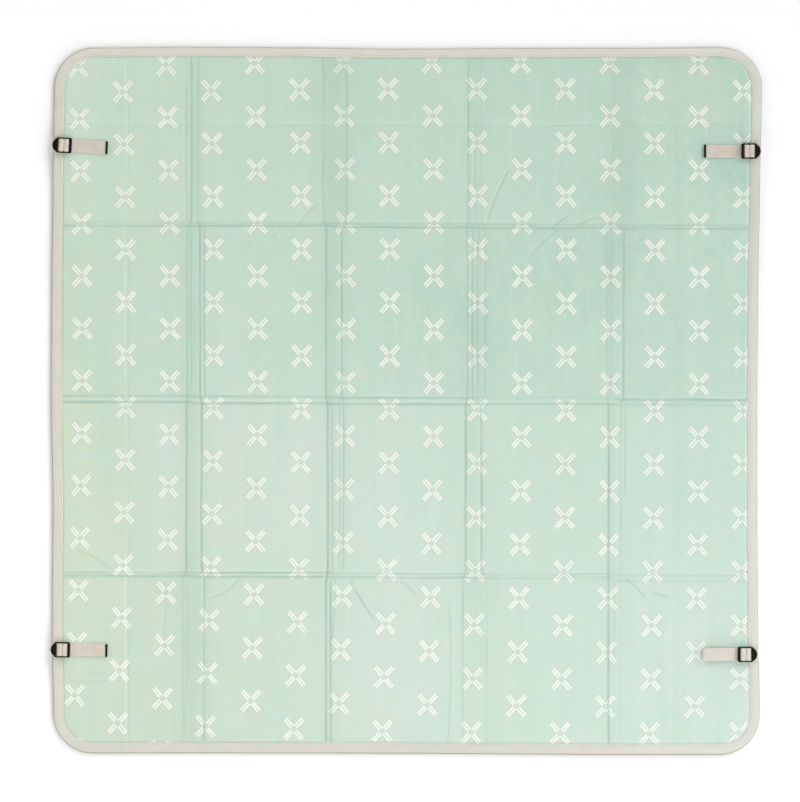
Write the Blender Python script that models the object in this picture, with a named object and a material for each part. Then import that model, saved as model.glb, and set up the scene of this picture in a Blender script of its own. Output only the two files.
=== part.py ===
"""A baby play mat lying open on the floor, its face up.

One padded sheet, square with rounded corners, with the creases that its folding has left; a binding
tape folded round its whole edge; and four webbing straps, two at the left and two at the right.
Each strap is sewn under the edge, comes round it, is threaded through a ladder-lock buckle and ends
in a hard tip.

The origin is on the floor under the middle of the mat. +Y is the top edge of the mat as it is seen
from above, and +X is its right edge. Tables are in millimetres, and the model is in metres.
"""

import math

import bmesh
import bpy

MM = 0.001
OBJECT_NAME = "baby_play_mat"

# The sheet
HALF_SIDE = 700.0 * MM
CORNER_RADIUS = 80.0 * MM
FIELD_THICKNESS = 3.8 * MM
GAP = 0.3 * MM

# The binding: a tape folded round the thinned edge of the sheet
TAPE_THICKNESS = 0.8 * MM
TONGUE_THICKNESS = 2.0 * MM
TAPE_WIDTH = 21.0 * MM
TAPE_WIDTH_BY_SIDE = {"right": 20.0 * MM, "top": 18.0 * MM, "left": 20.0 * MM, "bottom": 21.0 * MM}
TONGUE_BOTTOM = TAPE_THICKNESS + GAP
TONGUE_TOP = TONGUE_BOTTOM + TONGUE_THICKNESS
BINDING_HEIGHT = TONGUE_TOP + GAP + TAPE_THICKNESS
FOLD_RADIUS = BINDING_HEIGHT / 2
TONGUE_INSET = 2.2 * MM
SHOULDER = 3.2 * MM

# How far each side of the outline lies outside a true square, in mm, at seven even places along it:
# the left and right sides from top to bottom, the top and bottom sides from left to right
OUTLINE_REACH = 630.0 * MM
OUTLINE_BAND = 150.0 * MM
OUTLINE_DRIFT = {
    "left": (-5.3, -2.3, -0.1, 0.9, -2.5, -0.9, -3.4),
    "right": (4.6, 0.2, -3.3, -5.0, -4.9, -4.0, 0.2),
    "top": (-2.3, -1.0, -2.0, -4.7, -3.1, -2.9, -1.6),
    "bottom": (-3.2, -3.6, -3.2, -2.7, -1.3, -0.1, -0.5),
}

# Folds that run up the mat. Each is a pair of creases, and has one row for each row of panels, from
# the top: place of the left and right crease from the middle of the mat, then their depths, in mm
UPRIGHT_FOLDS = (
    ((-424, -411, 0.6, 0.4), (-432, -407, 0.5, 0.8), (-434, -404, 1.0, 1.0), (-440, -399, 0.2, 0.7)),
    ((-163, -117, 0.4, 0.5), (-158, -127, 0.8, 0.8), (-155, -124, 1.0, 0.7), (-158, -149, 1.0, 1.0)),
    ((123, 149, 0.7, 0.2), (121, 157, 0.4, 0.4), (118, 149, 0.9, 0.9), (112, 159, 0.5, 0.3)),
    ((410, 441, 0.2, 0.2), (398, 430, 0.3, 0.8), (400, 423, 0.8, 0.3), (400, 424, 0.9, 0.2)),
)

# Folds that run across the mat, with one row for each column of panels, from the left: place of the
# upper and lower crease, then their depths, in mm
CROSS_FOLDS = (
    ((352, 346, 0.3, 0.7), (352, 346, 0.6, 1.0), (349, 343, 0.7, 0.9), (348, 341, 0.5, 0.6),
     (346, 340, 0.7, 0.7)),
    ((10, -2, 0.6, 1.1), (8, -5, 0.6, 1.0), (6, -6, 0.8, 1.0), (6, -6, 0.2, 0.8), (2, -8, 1.0, 0.4)),
    ((-340, -346, 0.7, 0.8), (-340, -348, 0.9, 1.0), (-342, -349, 0.6, 0.7), (-343, -350, 0.5, 0.5),
     (-345, -356, 0.5, 0.3)),
)

# Slight single creases: the way they run, their place and depth in mm
SLIGHT_CREASES = (("upright", -550, 0.5), ("upright", 538, 0.3), ("across", 545, 0.4))

CREASE_HALF_WIDTH = 5.0 * MM
RIDGE_RISE = 0.35 * MM
PANEL_BLEND = 15.0 * MM

# Webbing
WEB_THICKNESS = 1.3 * MM
WEB_WIDTH = 25.0 * MM
WEB_GAP = 0.4 * MM
SEWN_LENGTH = 32.0 * MM
LIFT = WEB_THICKNESS + WEB_GAP
STRAP_PLACE = 500.0 * MM
LIFT_FLAT = 26.0 * MM
LIFT_STEPS = (26.0 * MM, 48.0 * MM, 72.0 * MM)
LIFT_DEEP = 36.0 * MM
LIFT_GONE = 78.0 * MM

# The webbing runs level at DECK under the outer and inner bars of its buckle
WRAP_RADIUS = FOLD_RADIUS + WEB_GAP + WEB_THICKNESS / 2
WRAP_MIDDLE = LIFT + FOLD_RADIUS
DECK = WRAP_MIDDLE + WRAP_RADIUS

# The straps: side, height of the middle on the mat, start of the buckle's frame from the mat's edge,
# free end from the mat's edge, all in mm, the lean of buckle and tail in degrees, and how it ends
STRAPS = {
    "left_top": ("left", 505.5, 6.6, 106.3, -2.0, "flat"),
    "right_top": ("right", 492.7, 8.1, 110.3, 1.4, "flat"),
    "left_bottom": ("left", -490.9, 5.1, 107.4, -2.2, "flat"),
    "right_bottom": ("right", -500.2, 11.2, 110.5, -1.4, "turned_under"),
}
LEAN_FROM = 3.0 * MM
LEAN_FULL = 6.5 * MM
TURNED_UNDER_LENGTH = 16.0 * MM

# The webbing's way from under the frame's outer bar over the first rung to the middle, in mm: inward
# from the frame's outer end and up from DECK. The way on to the inner bar is its mirror image
THREADING = (
    (4.0, 0.0), (5.3, 0.2), (6.3, 0.85), (7.1, 2.15), (7.9, 3.0), (9.0, 3.3), (10.3, 3.0),
    (12.5, 2.15), (15.0, 1.75),
)

# The ladder-lock buckle
FRAME_LENGTH = 31.0 * MM
FRAME_WIDTH = 30.0 * MM
FRAME_CORNER = 3.5 * MM
FRAME_LOW = DECK - 0.35 * MM
FRAME_HIGH = DECK + WEB_THICKNESS / 2 + GAP + 3.0 * MM
BAR_LOW = DECK + WEB_THICKNESS / 2 + GAP
WINDOW_FROM = 3.5 * MM
WINDOW_TO = 26.5 * MM
WINDOW_WIDTH = WEB_WIDTH + 1.0 * MM
RUNG_PLACES = (9.0 * MM, 21.0 * MM)
RUNG_RADIUS = 1.2 * MM
RUNG_RISE = 1.15 * MM
TAB_HALF_WIDTH = 12.5 * MM
TAB_LENGTH = 7.5 * MM

# The hard tip on the webbing's end
TIP_WIDTH = 25.4 * MM
TIP_LENGTH = 4.2 * MM
TIP_THICKNESS = 2.7 * MM
TIP_SLOT_DEPTH = 2.4 * MM

SIDES = {"right": (1.0, 0.0), "top": (0.0, 1.0), "left": (-1.0, 0.0), "bottom": (0.0, -1.0)}

MATERIALS = {
    "mat": ((0.565, 0.745, 0.640), 0.62),
    "binding": ((0.680, 0.665, 0.610), 0.85),
    "strap": ((0.610, 0.565, 0.510), 0.85),
    "hardware": ((0.012, 0.011, 0.010), 0.35),
}


def smooth_step(t):
    """0 up to t = 0, 1 from t = 1 on, and a soft rise between."""
    t = min(max(t, 0.0), 1.0)
    return t * t * (3.0 - 2.0 * t)


def along(values, t):
    """The value at t, from 0 to 1, of a row of evenly spaced values joined by soft steps."""
    place = min(max(t, 0.0), 1.0) * (len(values) - 1)
    first = min(int(place), len(values) - 2)
    return values[first] + (values[first + 1] - values[first]) * smooth_step(place - first)


def piecewise(keys, values, x):
    """The value at x of straight runs between the keys."""
    for left, right, low, high in zip(keys, keys[1:], values, values[1:]):
        if x <= right:
            return low + (high - low) * (x - left) / (right - left)
    return values[-1]


def by_panel(values, place, borders):
    """The value of the panel at place, where values change softly at the falling borders."""
    value = values[0]
    for border, following in zip(borders, values[1:]):
        value += (following - value) * smooth_step((border - place) / PANEL_BLEND / 2 + 0.5)
    return value


def fold_middle(fold):
    """The mean place of a fold's two creases, in metres."""
    places = [row[0] + row[1] for row in fold]
    return MM * sum(places) / len(places) / 2


def fold_spread(fold):
    """Half the mean distance between a fold's two creases, in metres."""
    spreads = [abs(row[1] - row[0]) for row in fold]
    return MM * sum(spreads) / len(spreads) / 2


def row_borders():
    """The places of the folds that part the rows of panels, from the top."""
    return [fold_middle(fold) for fold in CROSS_FOLDS]


def column_borders():
    """The places of the folds that part the columns of panels, negated so that they fall."""
    return [-fold_middle(fold) for fold in UPRIGHT_FOLDS]


def shift_keys(folds, inner):
    """The even places of all creases, between two fixed ends."""
    keys = []
    for fold in folds:
        keys += [fold_middle(fold) - fold_spread(fold), fold_middle(fold) + fold_spread(fold)]
    return [-inner] + sorted(keys) + [inner]


def shifted(x, y):
    """Move a point of the even grid to where the creases, which drift from panel to panel, lie."""
    inner = HALF_SIDE - CORNER_RADIUS
    columns = [-inner]
    for fold in UPRIGHT_FOLDS:
        for crease in (0, 1):
            columns.append(MM * by_panel([row[crease] for row in fold], y, row_borders()))
    rows = [-inner]
    for fold in reversed(CROSS_FOLDS):
        for crease in (1, 0):
            rows.append(MM * by_panel([row[crease] for row in fold], -x, column_borders()))
    new_x, new_y = x, y
    if abs(x) < inner:
        new_x = piecewise(shift_keys(UPRIGHT_FOLDS, inner), columns + [inner], x)
    if abs(y) < inner:
        new_y = piecewise(shift_keys(CROSS_FOLDS, inner), rows + [inner], y)
    return new_x, new_y


def tape_width(direction):
    """The tape's width where the outline faces along direction, a unit vector."""
    side = TAPE_WIDTH_BY_SIDE["right" if direction[0] > 0 else "left"]
    end = TAPE_WIDTH_BY_SIDE["top" if direction[1] > 0 else "bottom"]
    return side * direction[0] ** 2 + end * direction[1] ** 2


def true_inset(inset, direction):
    """Turn an inset of the even grid into one that follows the tape's own width there."""
    width = tape_width(direction)
    return piecewise([0.0, TAPE_WIDTH, CORNER_RADIUS], [0.0, width, CORNER_RADIUS], inset)


def outline_place(x, y):
    """Base point on the outline, outward direction and inset, for a point of the even grid."""
    inner = HALF_SIDE - CORNER_RADIUS
    over_x = abs(x) - inner
    over_y = abs(y) - inner
    side = math.copysign(1.0, x)
    end = math.copysign(1.0, y)
    if over_x > 0 and over_y > 0:
        turn = math.pi / 4 * min(over_x, over_y) / max(over_x, over_y)
        angle = turn if over_x >= over_y else math.pi / 2 - turn
        direction = (side * math.cos(angle), end * math.sin(angle))
        base = (side * inner + CORNER_RADIUS * direction[0], end * inner + CORNER_RADIUS * direction[1])
        return base, direction, CORNER_RADIUS - max(over_x, over_y)
    if over_x > over_y:
        return (side * HALF_SIDE, y), (side, 0.0), HALF_SIDE - abs(x)
    return (x, end * HALF_SIDE), (0.0, end), HALF_SIDE - abs(y)


def drifted(x, y):
    """Move a point of the true square with the outline's drift, which fades inward."""
    up = 0.5 - y / OUTLINE_REACH / 2
    across = 0.5 + x / OUTLINE_REACH / 2
    fade_x = smooth_step((abs(x) - HALF_SIDE) / OUTLINE_BAND + 1.0)
    fade_y = smooth_step((abs(y) - HALF_SIDE) / OUTLINE_BAND + 1.0)
    side = "right" if x > 0 else "left"
    end = "top" if y > 0 else "bottom"
    new_x = x + MM * along(OUTLINE_DRIFT[side], up) * fade_x * SIDES[side][0]
    new_y = y + MM * along(OUTLINE_DRIFT[end], across) * fade_y * SIDES[end][1]
    return new_x, new_y


def at_outline(base, direction, inset):
    """The point at an inset from a base point of the outline, with the outline's drift."""
    return drifted(base[0] - direction[0] * inset, base[1] - direction[1] * inset)


def flat_place(x, y):
    """Where a point of the even grid lies on the real mat."""
    base, direction, inset = outline_place(x, y)
    if inset < CORNER_RADIUS:
        return at_outline(base, direction, true_inset(inset, direction))
    return drifted(*shifted(x, y))


def lift_at(x, y):
    """How far the sheet and its binding are raised over the webbing that runs under them."""
    inset = HALF_SIDE - abs(x)
    beside = abs(abs(y) - STRAP_PLACE)
    deep = 1.0 - smooth_step((inset - LIFT_DEEP) / (LIFT_GONE - LIFT_DEEP))
    wide = 1.0 - smooth_step((beside - LIFT_FLAT) / (LIFT_STEPS[-1] - LIFT_FLAT))
    return LIFT * deep * wide


def crease_dip(distance):
    """The share of a crease's depth at a distance from its line."""
    return max(0.0, 1.0 - abs(distance) / CREASE_HALF_WIDTH)


def pair_height(fold, distance, other, borders):
    """Height that one fold's pair of creases adds, at a signed distance from the fold's middle."""
    spread = fold_spread(fold)
    low_depth = MM * by_panel([row[2] for row in fold], other, borders)
    high_depth = MM * by_panel([row[3] for row in fold], other, borders)
    height = -low_depth * crease_dip(distance + spread) - high_depth * crease_dip(distance - spread)
    if abs(distance) < spread - CREASE_HALF_WIDTH:
        height += RIDGE_RISE
    return height


def crease_height(x, y):
    """Height that all creases add to the field at a point of the even grid."""
    height = 0.0
    for fold in UPRIGHT_FOLDS:
        height += pair_height(fold, x - fold_middle(fold), y, row_borders())
    for fold in CROSS_FOLDS:
        height += pair_height(fold, fold_middle(fold) - y, -x, column_borders())
    for way, place, depth in SLIGHT_CREASES:
        distance = (x if way == "upright" else y) - MM * place
        height -= MM * depth * crease_dip(distance)
    return max(height, -0.55 * FIELD_THICKNESS)


def field_top(x, y):
    """Top of the padded field at a point of the even grid."""
    return FIELD_THICKNESS + crease_height(x, y)


def in_tongue(x, y):
    """Whether a point of the even grid lies on the thinned edge that the binding holds."""
    return outline_place(x, y)[2] < TAPE_WIDTH + 2 * GAP


def edge_lines():
    """Insets of the grid lines between the edge of the sheet and the end of the round corners."""
    tongue_end = TAPE_WIDTH + GAP
    even = [35.0 * MM, 50.0 * MM, 65.0 * MM, CORNER_RADIUS]
    return [TONGUE_INSET, tongue_end, tongue_end + SHOULDER] + even


def crease_lines(folds):
    """Grid lines that a row of folds needs."""
    lines = []
    for fold in folds:
        middle = fold_middle(fold)
        spread = fold_spread(fold)
        outer = spread + CREASE_HALF_WIDTH
        inner = spread - CREASE_HALF_WIDTH
        offsets = [outer, spread] + ([inner] if inner > 2 * MM else [])
        lines += [middle + sign * offset for offset in offsets for sign in (-1, 1)]
        lines.append(middle)
    return lines


def slight_lines(way):
    """Grid lines that the slight creases running one way need."""
    places = [MM * place for kind, place, depth in SLIGHT_CREASES if kind == way]
    return [place + step for place in places for step in (-CREASE_HALF_WIDTH, 0.0, CREASE_HALF_WIDTH)]


def strap_lines():
    """Grid lines across the mat beside the straps."""
    steps = [sign * step for step in LIFT_STEPS for sign in (-1, 1)]
    return [end * (STRAP_PLACE + step) for step in steps for end in (-1, 1)]


def tidy_lines(lines):
    """Sort grid lines and drop one of any two that nearly meet."""
    kept = []
    for line in sorted(lines):
        if not kept or line - kept[-1] > 1.5 * MM:
            kept.append(line)
    return kept


def grid_lines():
    """Every grid line of the sheet: places along X and along Y."""
    edges = [sign * (HALF_SIDE - inset) for inset in edge_lines() for sign in (-1, 1)]
    columns = edges + crease_lines(UPRIGHT_FOLDS) + slight_lines("upright")
    columns += [MM * place for place in (-490, -280, 0, 280, 490)]
    rows = edges + crease_lines(CROSS_FOLDS) + slight_lines("across") + strap_lines()
    rows += [MM * place for place in (175, -175)]
    return tidy_lines(columns), tidy_lines(rows)


def new_object(name, mesh, material, collection):
    """Add a mesh object with its own material to a collection."""
    item = bpy.data.objects.new(name, mesh)
    if material:
        item.data.materials.clear()
        item.data.materials.append(material)
    collection.objects.link(item)
    return item


def new_material(name, kind):
    """A plain material with the colour and roughness of one kind of piece."""
    colour, roughness = MATERIALS[kind]
    material = bpy.data.materials.new(name)
    material.use_nodes = True
    shader = material.node_tree.nodes["Principled BSDF"]
    shader.inputs["Base Color"].default_value = (*colour, 1.0)
    shader.inputs["Roughness"].default_value = roughness
    shader.inputs["Metallic"].default_value = 0.0
    return material


def mesh_from(maker, name):
    """Run a function that fills a bmesh, and turn the result into a mesh with its faces outward."""
    build = bmesh.new()
    maker(build)
    bmesh.ops.recalc_face_normals(build, faces=build.faces)
    mesh = bpy.data.meshes.new(name)
    build.to_mesh(mesh)
    build.free()
    return mesh


def make_mat(collection):
    """The padded sheet: a creased top over a flat underside, thinned where the binding holds it."""
    columns, rows = grid_lines()
    rim = len(edge_lines()) - 1
    last_column, last_row = len(columns) - 1, len(rows) - 1

    def on_rim(i, j):
        return i <= rim or j <= rim or i >= last_column - rim or j >= last_row - rim

    def fill(build):
        top, bottom = {}, {}
        for i, x in enumerate(columns):
            for j, y in enumerate(rows):
                place = flat_place(x, y)
                lift = lift_at(x, y)
                high = TONGUE_TOP if in_tongue(x, y) else field_top(x, y)
                low = TONGUE_BOTTOM if in_tongue(x, y) else 0.0
                top[i, j] = build.verts.new((*place, lift + high))
                if on_rim(i, j):
                    bottom[i, j] = build.verts.new((*place, lift + low))
        for i in range(last_column):
            for j in range(last_row):
                cell = ((i, j), (i + 1, j), (i + 1, j + 1), (i, j + 1))
                build.faces.new([top[corner] for corner in cell])
                if all(corner in bottom for corner in cell):
                    build.faces.new([bottom[corner] for corner in reversed(cell)])
        edge = ring(0, last_column, 0, last_row)
        for here, there in zip(edge, edge[1:] + edge[:1]):
            build.faces.new([bottom[here], bottom[there], top[there], top[here]])
        inside = ring(rim, last_column - rim, rim, last_row - rim)
        build.faces.new([bottom[corner] for corner in reversed(inside)])

    mesh = mesh_from(fill, "mat")
    return new_object("mat", mesh, new_material("mat_cloth", "mat"), collection)


def ring(left, right, low, high):
    """The grid's index pairs round a rectangle, anticlockwise."""
    pairs = [(i, low) for i in range(left, right)]
    pairs += [(right, j) for j in range(low, high)]
    pairs += [(i, high) for i in range(right, left, -1)]
    pairs += [(left, j) for j in range(high, low, -1)]
    return pairs


def binding_section(width):
    """The folded tape's section as (inset, height): round its outside, then back round its inside."""
    arc = [math.radians(angle) for angle in (-90, -45, 0, 45, 90)]
    outside = [(FOLD_RADIUS * (1 - math.cos(a)), FOLD_RADIUS * (1 + math.sin(a))) for a in arc]
    within = FOLD_RADIUS - TAPE_THICKNESS
    inside = [(FOLD_RADIUS - within * math.cos(a), FOLD_RADIUS + within * math.sin(a)) for a in arc]
    section = [(width, 0.0)] + outside + [(width, BINDING_HEIGHT)]
    section += [(width, BINDING_HEIGHT - TAPE_THICKNESS)] + inside[::-1] + [(width, TAPE_THICKNESS)]
    return section


def binding_stations():
    """Grid points round the edge that the binding is drawn through: all in corners, some on sides."""
    columns, rows = grid_lines()
    inner = HALF_SIDE - CORNER_RADIUS
    needed = [abs(line) for line in strap_lines()]
    kept = []
    for i, j in ring(0, len(columns) - 1, 0, len(rows) - 1):
        x, y = columns[i], rows[j]
        in_corner = min(abs(x), abs(y)) > inner - 1 * MM
        at_strap = any(abs(min(abs(x), abs(y)) - line) < 1 * MM for line in needed)
        far = not kept or math.hypot(x - kept[-1][0], y - kept[-1][1]) > 40 * MM
        if in_corner or (at_strap and abs(x) > abs(y)) or far:
            kept.append((x, y))
    return kept


def loft(sections, closed):
    """A function that fills a bmesh with a skin through sections, closed into a ring or capped."""
    def fill(build):
        rows = [[build.verts.new(point) for point in section] for section in sections]
        following = rows[1:] + rows[:1] if closed else rows[1:]
        for here, there in zip(rows, following):
            for k in range(len(here)):
                n = (k + 1) % len(here)
                build.faces.new([here[k], here[n], there[n], there[k]])
        if not closed:
            build.faces.new(rows[0][::-1])
            build.faces.new(rows[-1])
    return fill


def make_binding(collection):
    """The tape folded round the whole edge."""
    sections = []
    for x, y in binding_stations():
        base, direction, _ = outline_place(x, y)
        section = []
        for inset, height in binding_section(tape_width(direction)):
            place = at_outline(base, direction, inset)
            level = (base[0] - direction[0] * inset, base[1] - direction[1] * inset)
            section.append((*place, height + lift_at(*level)))
        sections.append(section)
    mesh = mesh_from(loft(sections, True), "binding")
    return new_object("binding", mesh, new_material("binding_cloth", "binding"), collection)


def strap_base(side, height):
    """Where a strap crosses the mat's edge, and the turn about Z that faces it inward."""
    sign = SIDES[side][0]
    end = math.copysign(1.0, height)
    ends = []
    for place in (STRAP_PLACE - LIFT_FLAT, STRAP_PLACE + LIFT_FLAT):
        ends.append(drifted(sign * HALF_SIDE, end * place))
    (x_near, y_near), (x_far, y_far) = ends
    share = (height - y_near) / (y_far - y_near)
    x = x_near + (x_far - x_near) * share
    slope = -math.atan((x_far - x_near) / (y_far - y_near))
    return (x, height, 0.0), slope + (math.pi if side == "right" else 0.0)


def mat_level(inward):
    """Top of the mat beside a strap's tail, at a distance inward from the edge."""
    return FIELD_THICKNESS + lift_at(HALF_SIDE - inward, STRAP_PLACE)


def strap_path(frame_start, free_end, ending):
    """The webbing's middle line as (inward, up), from its sewn end to its free end."""
    under = WEB_THICKNESS / 2
    path = [(SEWN_LENGTH, under), (SEWN_LENGTH / 2, under)]
    for step in range(7):
        angle = math.radians(-90 - 30 * step)
        out = FOLD_RADIUS + WRAP_RADIUS * math.cos(angle)
        path.append((out, WRAP_MIDDLE + WRAP_RADIUS * math.sin(angle)))
    middle = THREADING[-1][0]
    mirrored = [(2 * middle - inward, up) for inward, up in THREADING[-2::-1]]
    for inward, up in list(THREADING) + mirrored:
        path.append((frame_start + MM * inward, DECK + MM * up))
    path.append((frame_start + FRAME_LENGTH, DECK))
    rest = GAP + WEB_THICKNESS / 2
    if ending == "flat":
        for inward in (50.0 * MM, 65.0 * MM, CORNER_RADIUS):
            path.append((inward, mat_level(inward) + rest))
        path.append((free_end, FIELD_THICKNESS + GAP + TIP_THICKNESS / 2))
        return path
    low = FIELD_THICKNESS + GAP + TIP_THICKNESS / 2
    high = FIELD_THICKNESS + GAP + TIP_THICKNESS + rest
    radius = (high - low) / 2
    turn = free_end - radius - WEB_THICKNESS / 2
    path += [(60.0 * MM, high - 0.3 * MM), (CORNER_RADIUS, high)]
    for step in range(7):
        angle = math.radians(90 - 30 * step)
        path.append((turn + radius * math.cos(angle), low + radius + radius * math.sin(angle)))
    path.append((turn - TURNED_UNDER_LENGTH, low))
    return path


def leaned(inward, across, lean):
    """Turn a strap's point in the plane of the mat, from just inside the mat's edge on."""
    turn = lean * smooth_step((inward - LEAN_FROM) / (LEAN_FULL - LEAN_FROM))
    offset = inward - LEAN_FROM
    new_inward = LEAN_FROM + offset * math.cos(turn) - across * math.sin(turn)
    return new_inward, offset * math.sin(turn) + across * math.cos(turn)


def strap_sections(path, lean):
    """Rectangles of webbing across a middle line. The first points, to the end of the wrap, stay square."""
    sections = []
    wrap_end = 9
    for k, (inward, up) in enumerate(path):
        before = path[max(k - 1, 0)]
        after = path[min(k + 1, len(path) - 1)]
        run, rise = after[0] - before[0], after[1] - before[1]
        length = math.hypot(run, rise)
        half = WEB_THICKNESS / 2
        side = (-rise / length * half, run / length * half)
        section = []
        for across, out in ((-1, 1), (1, 1), (1, -1), (-1, -1)):
            place = (inward + side[0] * out, across * WEB_WIDTH / 2)
            if k >= wrap_end:
                place = leaned(*place, lean)
            section.append((*place, up + side[1] * out))
        sections.append(section)
    return sections


def make_strap(name, collection):
    """One length of webbing, from its sewn end under the mat to its tip."""
    side, height, frame_start, free_end, lean, ending = STRAPS[name]
    path = strap_path(MM * frame_start, MM * free_end, ending)
    mesh = mesh_from(loft(strap_sections(path, math.radians(lean)), False), "strap_" + name)
    strap = new_object("strap_" + name, mesh, new_material("strap_webbing_" + name, "strap"), collection)
    strap.location, strap.rotation_euler.z = strap_base(side, MM * height)
    return strap


def tip_section(opening):
    """A tip's outline as (inward, up) from its closed end's middle. Its slot opens towards opening."""
    half = TIP_THICKNESS / 2
    round_off = 0.7 * MM
    slot = WEB_THICKNESS / 2 + GAP
    points = [
        (0.0, -half + round_off), (round_off, -half), (TIP_LENGTH, -half), (TIP_LENGTH, -slot),
        (TIP_LENGTH - TIP_SLOT_DEPTH, -slot), (TIP_LENGTH - TIP_SLOT_DEPTH, slot),
        (TIP_LENGTH, slot), (TIP_LENGTH, half), (round_off, half), (0.0, half - round_off),
    ]
    return [(opening * inward, up) for inward, up in points]


def make_tip(name, collection):
    """The hard tip on one strap's free end."""
    side, height, frame_start, free_end, lean, ending = STRAPS[name]
    end_inward, end_up = strap_path(MM * frame_start, MM * free_end, ending)[-1]
    opening = -1.0 if ending == "flat" else 1.0
    closed_end = end_inward - opening * (TIP_LENGTH - TIP_SLOT_DEPTH + GAP)
    sections = []
    for across in (-TIP_WIDTH / 2, TIP_WIDTH / 2):
        section = []
        for inward, up in tip_section(opening):
            place = leaned(closed_end + inward, across, math.radians(lean))
            section.append((*place, end_up + up))
        sections.append(section)
    mesh = mesh_from(loft(sections, False), "tip_" + name)
    tip = new_object("tip_" + name, mesh, new_material("tip_plastic_" + name, "hardware"), collection)
    tip.location, tip.rotation_euler.z = strap_base(side, MM * height)
    return tip


def frame_outline():
    """The buckle's outline from above as (inward, across), with its half-round lift tab."""
    points = []
    half = FRAME_WIDTH / 2
    corners = ((FRAME_LENGTH, -half, -90), (FRAME_LENGTH, half, 0), (0.0, half, 90), (0.0, -half, 180))
    for inward, across, start in corners:
        centre = (abs(inward - FRAME_CORNER), math.copysign(half - FRAME_CORNER, across))
        if start == 180:
            points += tab_outline()
        for step in range(5):
            angle = math.radians(start + 22.5 * step)
            points.append((centre[0] + FRAME_CORNER * math.cos(angle),
                           centre[1] + FRAME_CORNER * math.sin(angle)))
    return points


def tab_outline():
    """The half-round tab, a flat arc standing on the frame's outer end."""
    radius = (TAB_HALF_WIDTH ** 2 + TAB_LENGTH ** 2) / (2 * TAB_LENGTH)
    reach = math.asin(TAB_HALF_WIDTH / radius)
    points = []
    for step in range(9):
        angle = reach * (1 - step / 4)
        points.append((radius - TAB_LENGTH - radius * math.cos(angle), radius * math.sin(angle)))
    return points


def plate(name, points, low, high):
    """A flat outline made solid between two heights, as a mesh object."""
    curve = bpy.data.curves.new(name, "CURVE")
    curve.dimensions = "2D"
    curve.fill_mode = "BOTH"
    curve.extrude = (high - low) / 2
    spline = curve.splines.new("POLY")
    spline.points.add(len(points) - 1)
    for point, (x, y) in zip(spline.points, points):
        point.co = (x, y, 0.0, 1.0)
    spline.use_cyclic_u = True
    drawn = bpy.data.objects.new(name + "_curve", curve)
    bpy.context.scene.collection.objects.link(drawn)
    mesh = evaluated_mesh(drawn)
    bpy.data.objects.remove(drawn)
    build = bmesh.new()
    build.from_mesh(mesh)
    bmesh.ops.remove_doubles(build, verts=build.verts, dist=0.01 * MM)
    bmesh.ops.translate(build, verts=build.verts, vec=(0.0, 0.0, (low + high) / 2))
    build.to_mesh(mesh)
    build.free()
    return mesh


def evaluated_mesh(item):
    """A new mesh with an object's shape after its modifiers."""
    bpy.context.view_layer.update()
    return bpy.data.meshes.new_from_object(item.evaluated_get(bpy.context.evaluated_depsgraph_get()))


def box_mesh(name, low, high):
    """A box between two corners."""
    def fill(build):
        bmesh.ops.create_cube(build, size=1.0)
        for vert in build.verts:
            vert.co = [a + (b - a) * (c + 0.5) for a, b, c in zip(low, high, vert.co)]
    return mesh_from(fill, name)


def rung_mesh(place):
    """One round rung across the frame, at a place inward from the frame's outer end."""
    def fill(build):
        bmesh.ops.create_cone(build, cap_ends=True, segments=12, radius1=RUNG_RADIUS,
                              radius2=RUNG_RADIUS, depth=WINDOW_WIDTH + 2 * MM)
        for vert in build.verts:
            across, up = vert.co.z, vert.co.x
            vert.co = (place + vert.co.y, across, DECK + RUNG_RISE + up)
    return mesh_from(fill, "rung")


def buckle_mesh(cutters):
    """The ladder-lock: a frame with a lift tab, open in the middle, with two rungs across."""
    scratch = new_object("frame", plate("frame", frame_outline(), FRAME_LOW, FRAME_HIGH), None, cutters)
    beyond = 2 * MM
    inside = WINDOW_WIDTH / 2
    tools = [
        ("DIFFERENCE", box_mesh("window", (WINDOW_FROM, -inside, FRAME_LOW - beyond),
                                (WINDOW_TO, inside, FRAME_HIGH + beyond))),
        ("DIFFERENCE", box_mesh("relief", (-TAB_LENGTH - beyond, -inside, FRAME_LOW - beyond),
                                (FRAME_LENGTH + beyond, inside, BAR_LOW))),
        ("UNION", rung_mesh(RUNG_PLACES[0])),
        ("UNION", rung_mesh(RUNG_PLACES[1])),
    ]
    for operation, mesh in tools:
        cutter = new_object(mesh.name + "_cutter", mesh, None, cutters)
        cutter.hide_render = True
        cutter.display_type = "WIRE"
        cut = scratch.modifiers.new(mesh.name, "BOOLEAN")
        cut.operation = operation
        cut.object = cutter
        cut.solver = "EXACT"
    mesh = evaluated_mesh(scratch)
    bpy.data.objects.remove(scratch)
    return mesh


def make_buckle(name, mesh, collection):
    """One strap's buckle, set on its webbing."""
    side, height, frame_start, free_end, lean, ending = STRAPS[name]
    buckle = new_object("buckle_" + name, mesh, None, collection)
    (x, y, z), turn = strap_base(side, MM * height)
    tilt = math.radians(lean)
    start = leaned(MM * frame_start, 0.0, tilt)
    buckle.location = (x + start[0] * math.cos(turn) - start[1] * math.sin(turn),
                       y + start[0] * math.sin(turn) + start[1] * math.cos(turn), z)
    buckle.rotation_euler.z = turn + tilt
    return buckle


def new_collection(name):
    """Add an empty collection to the scene."""
    collection = bpy.data.collections.new(name)
    bpy.context.scene.collection.children.link(collection)
    return collection


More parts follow.
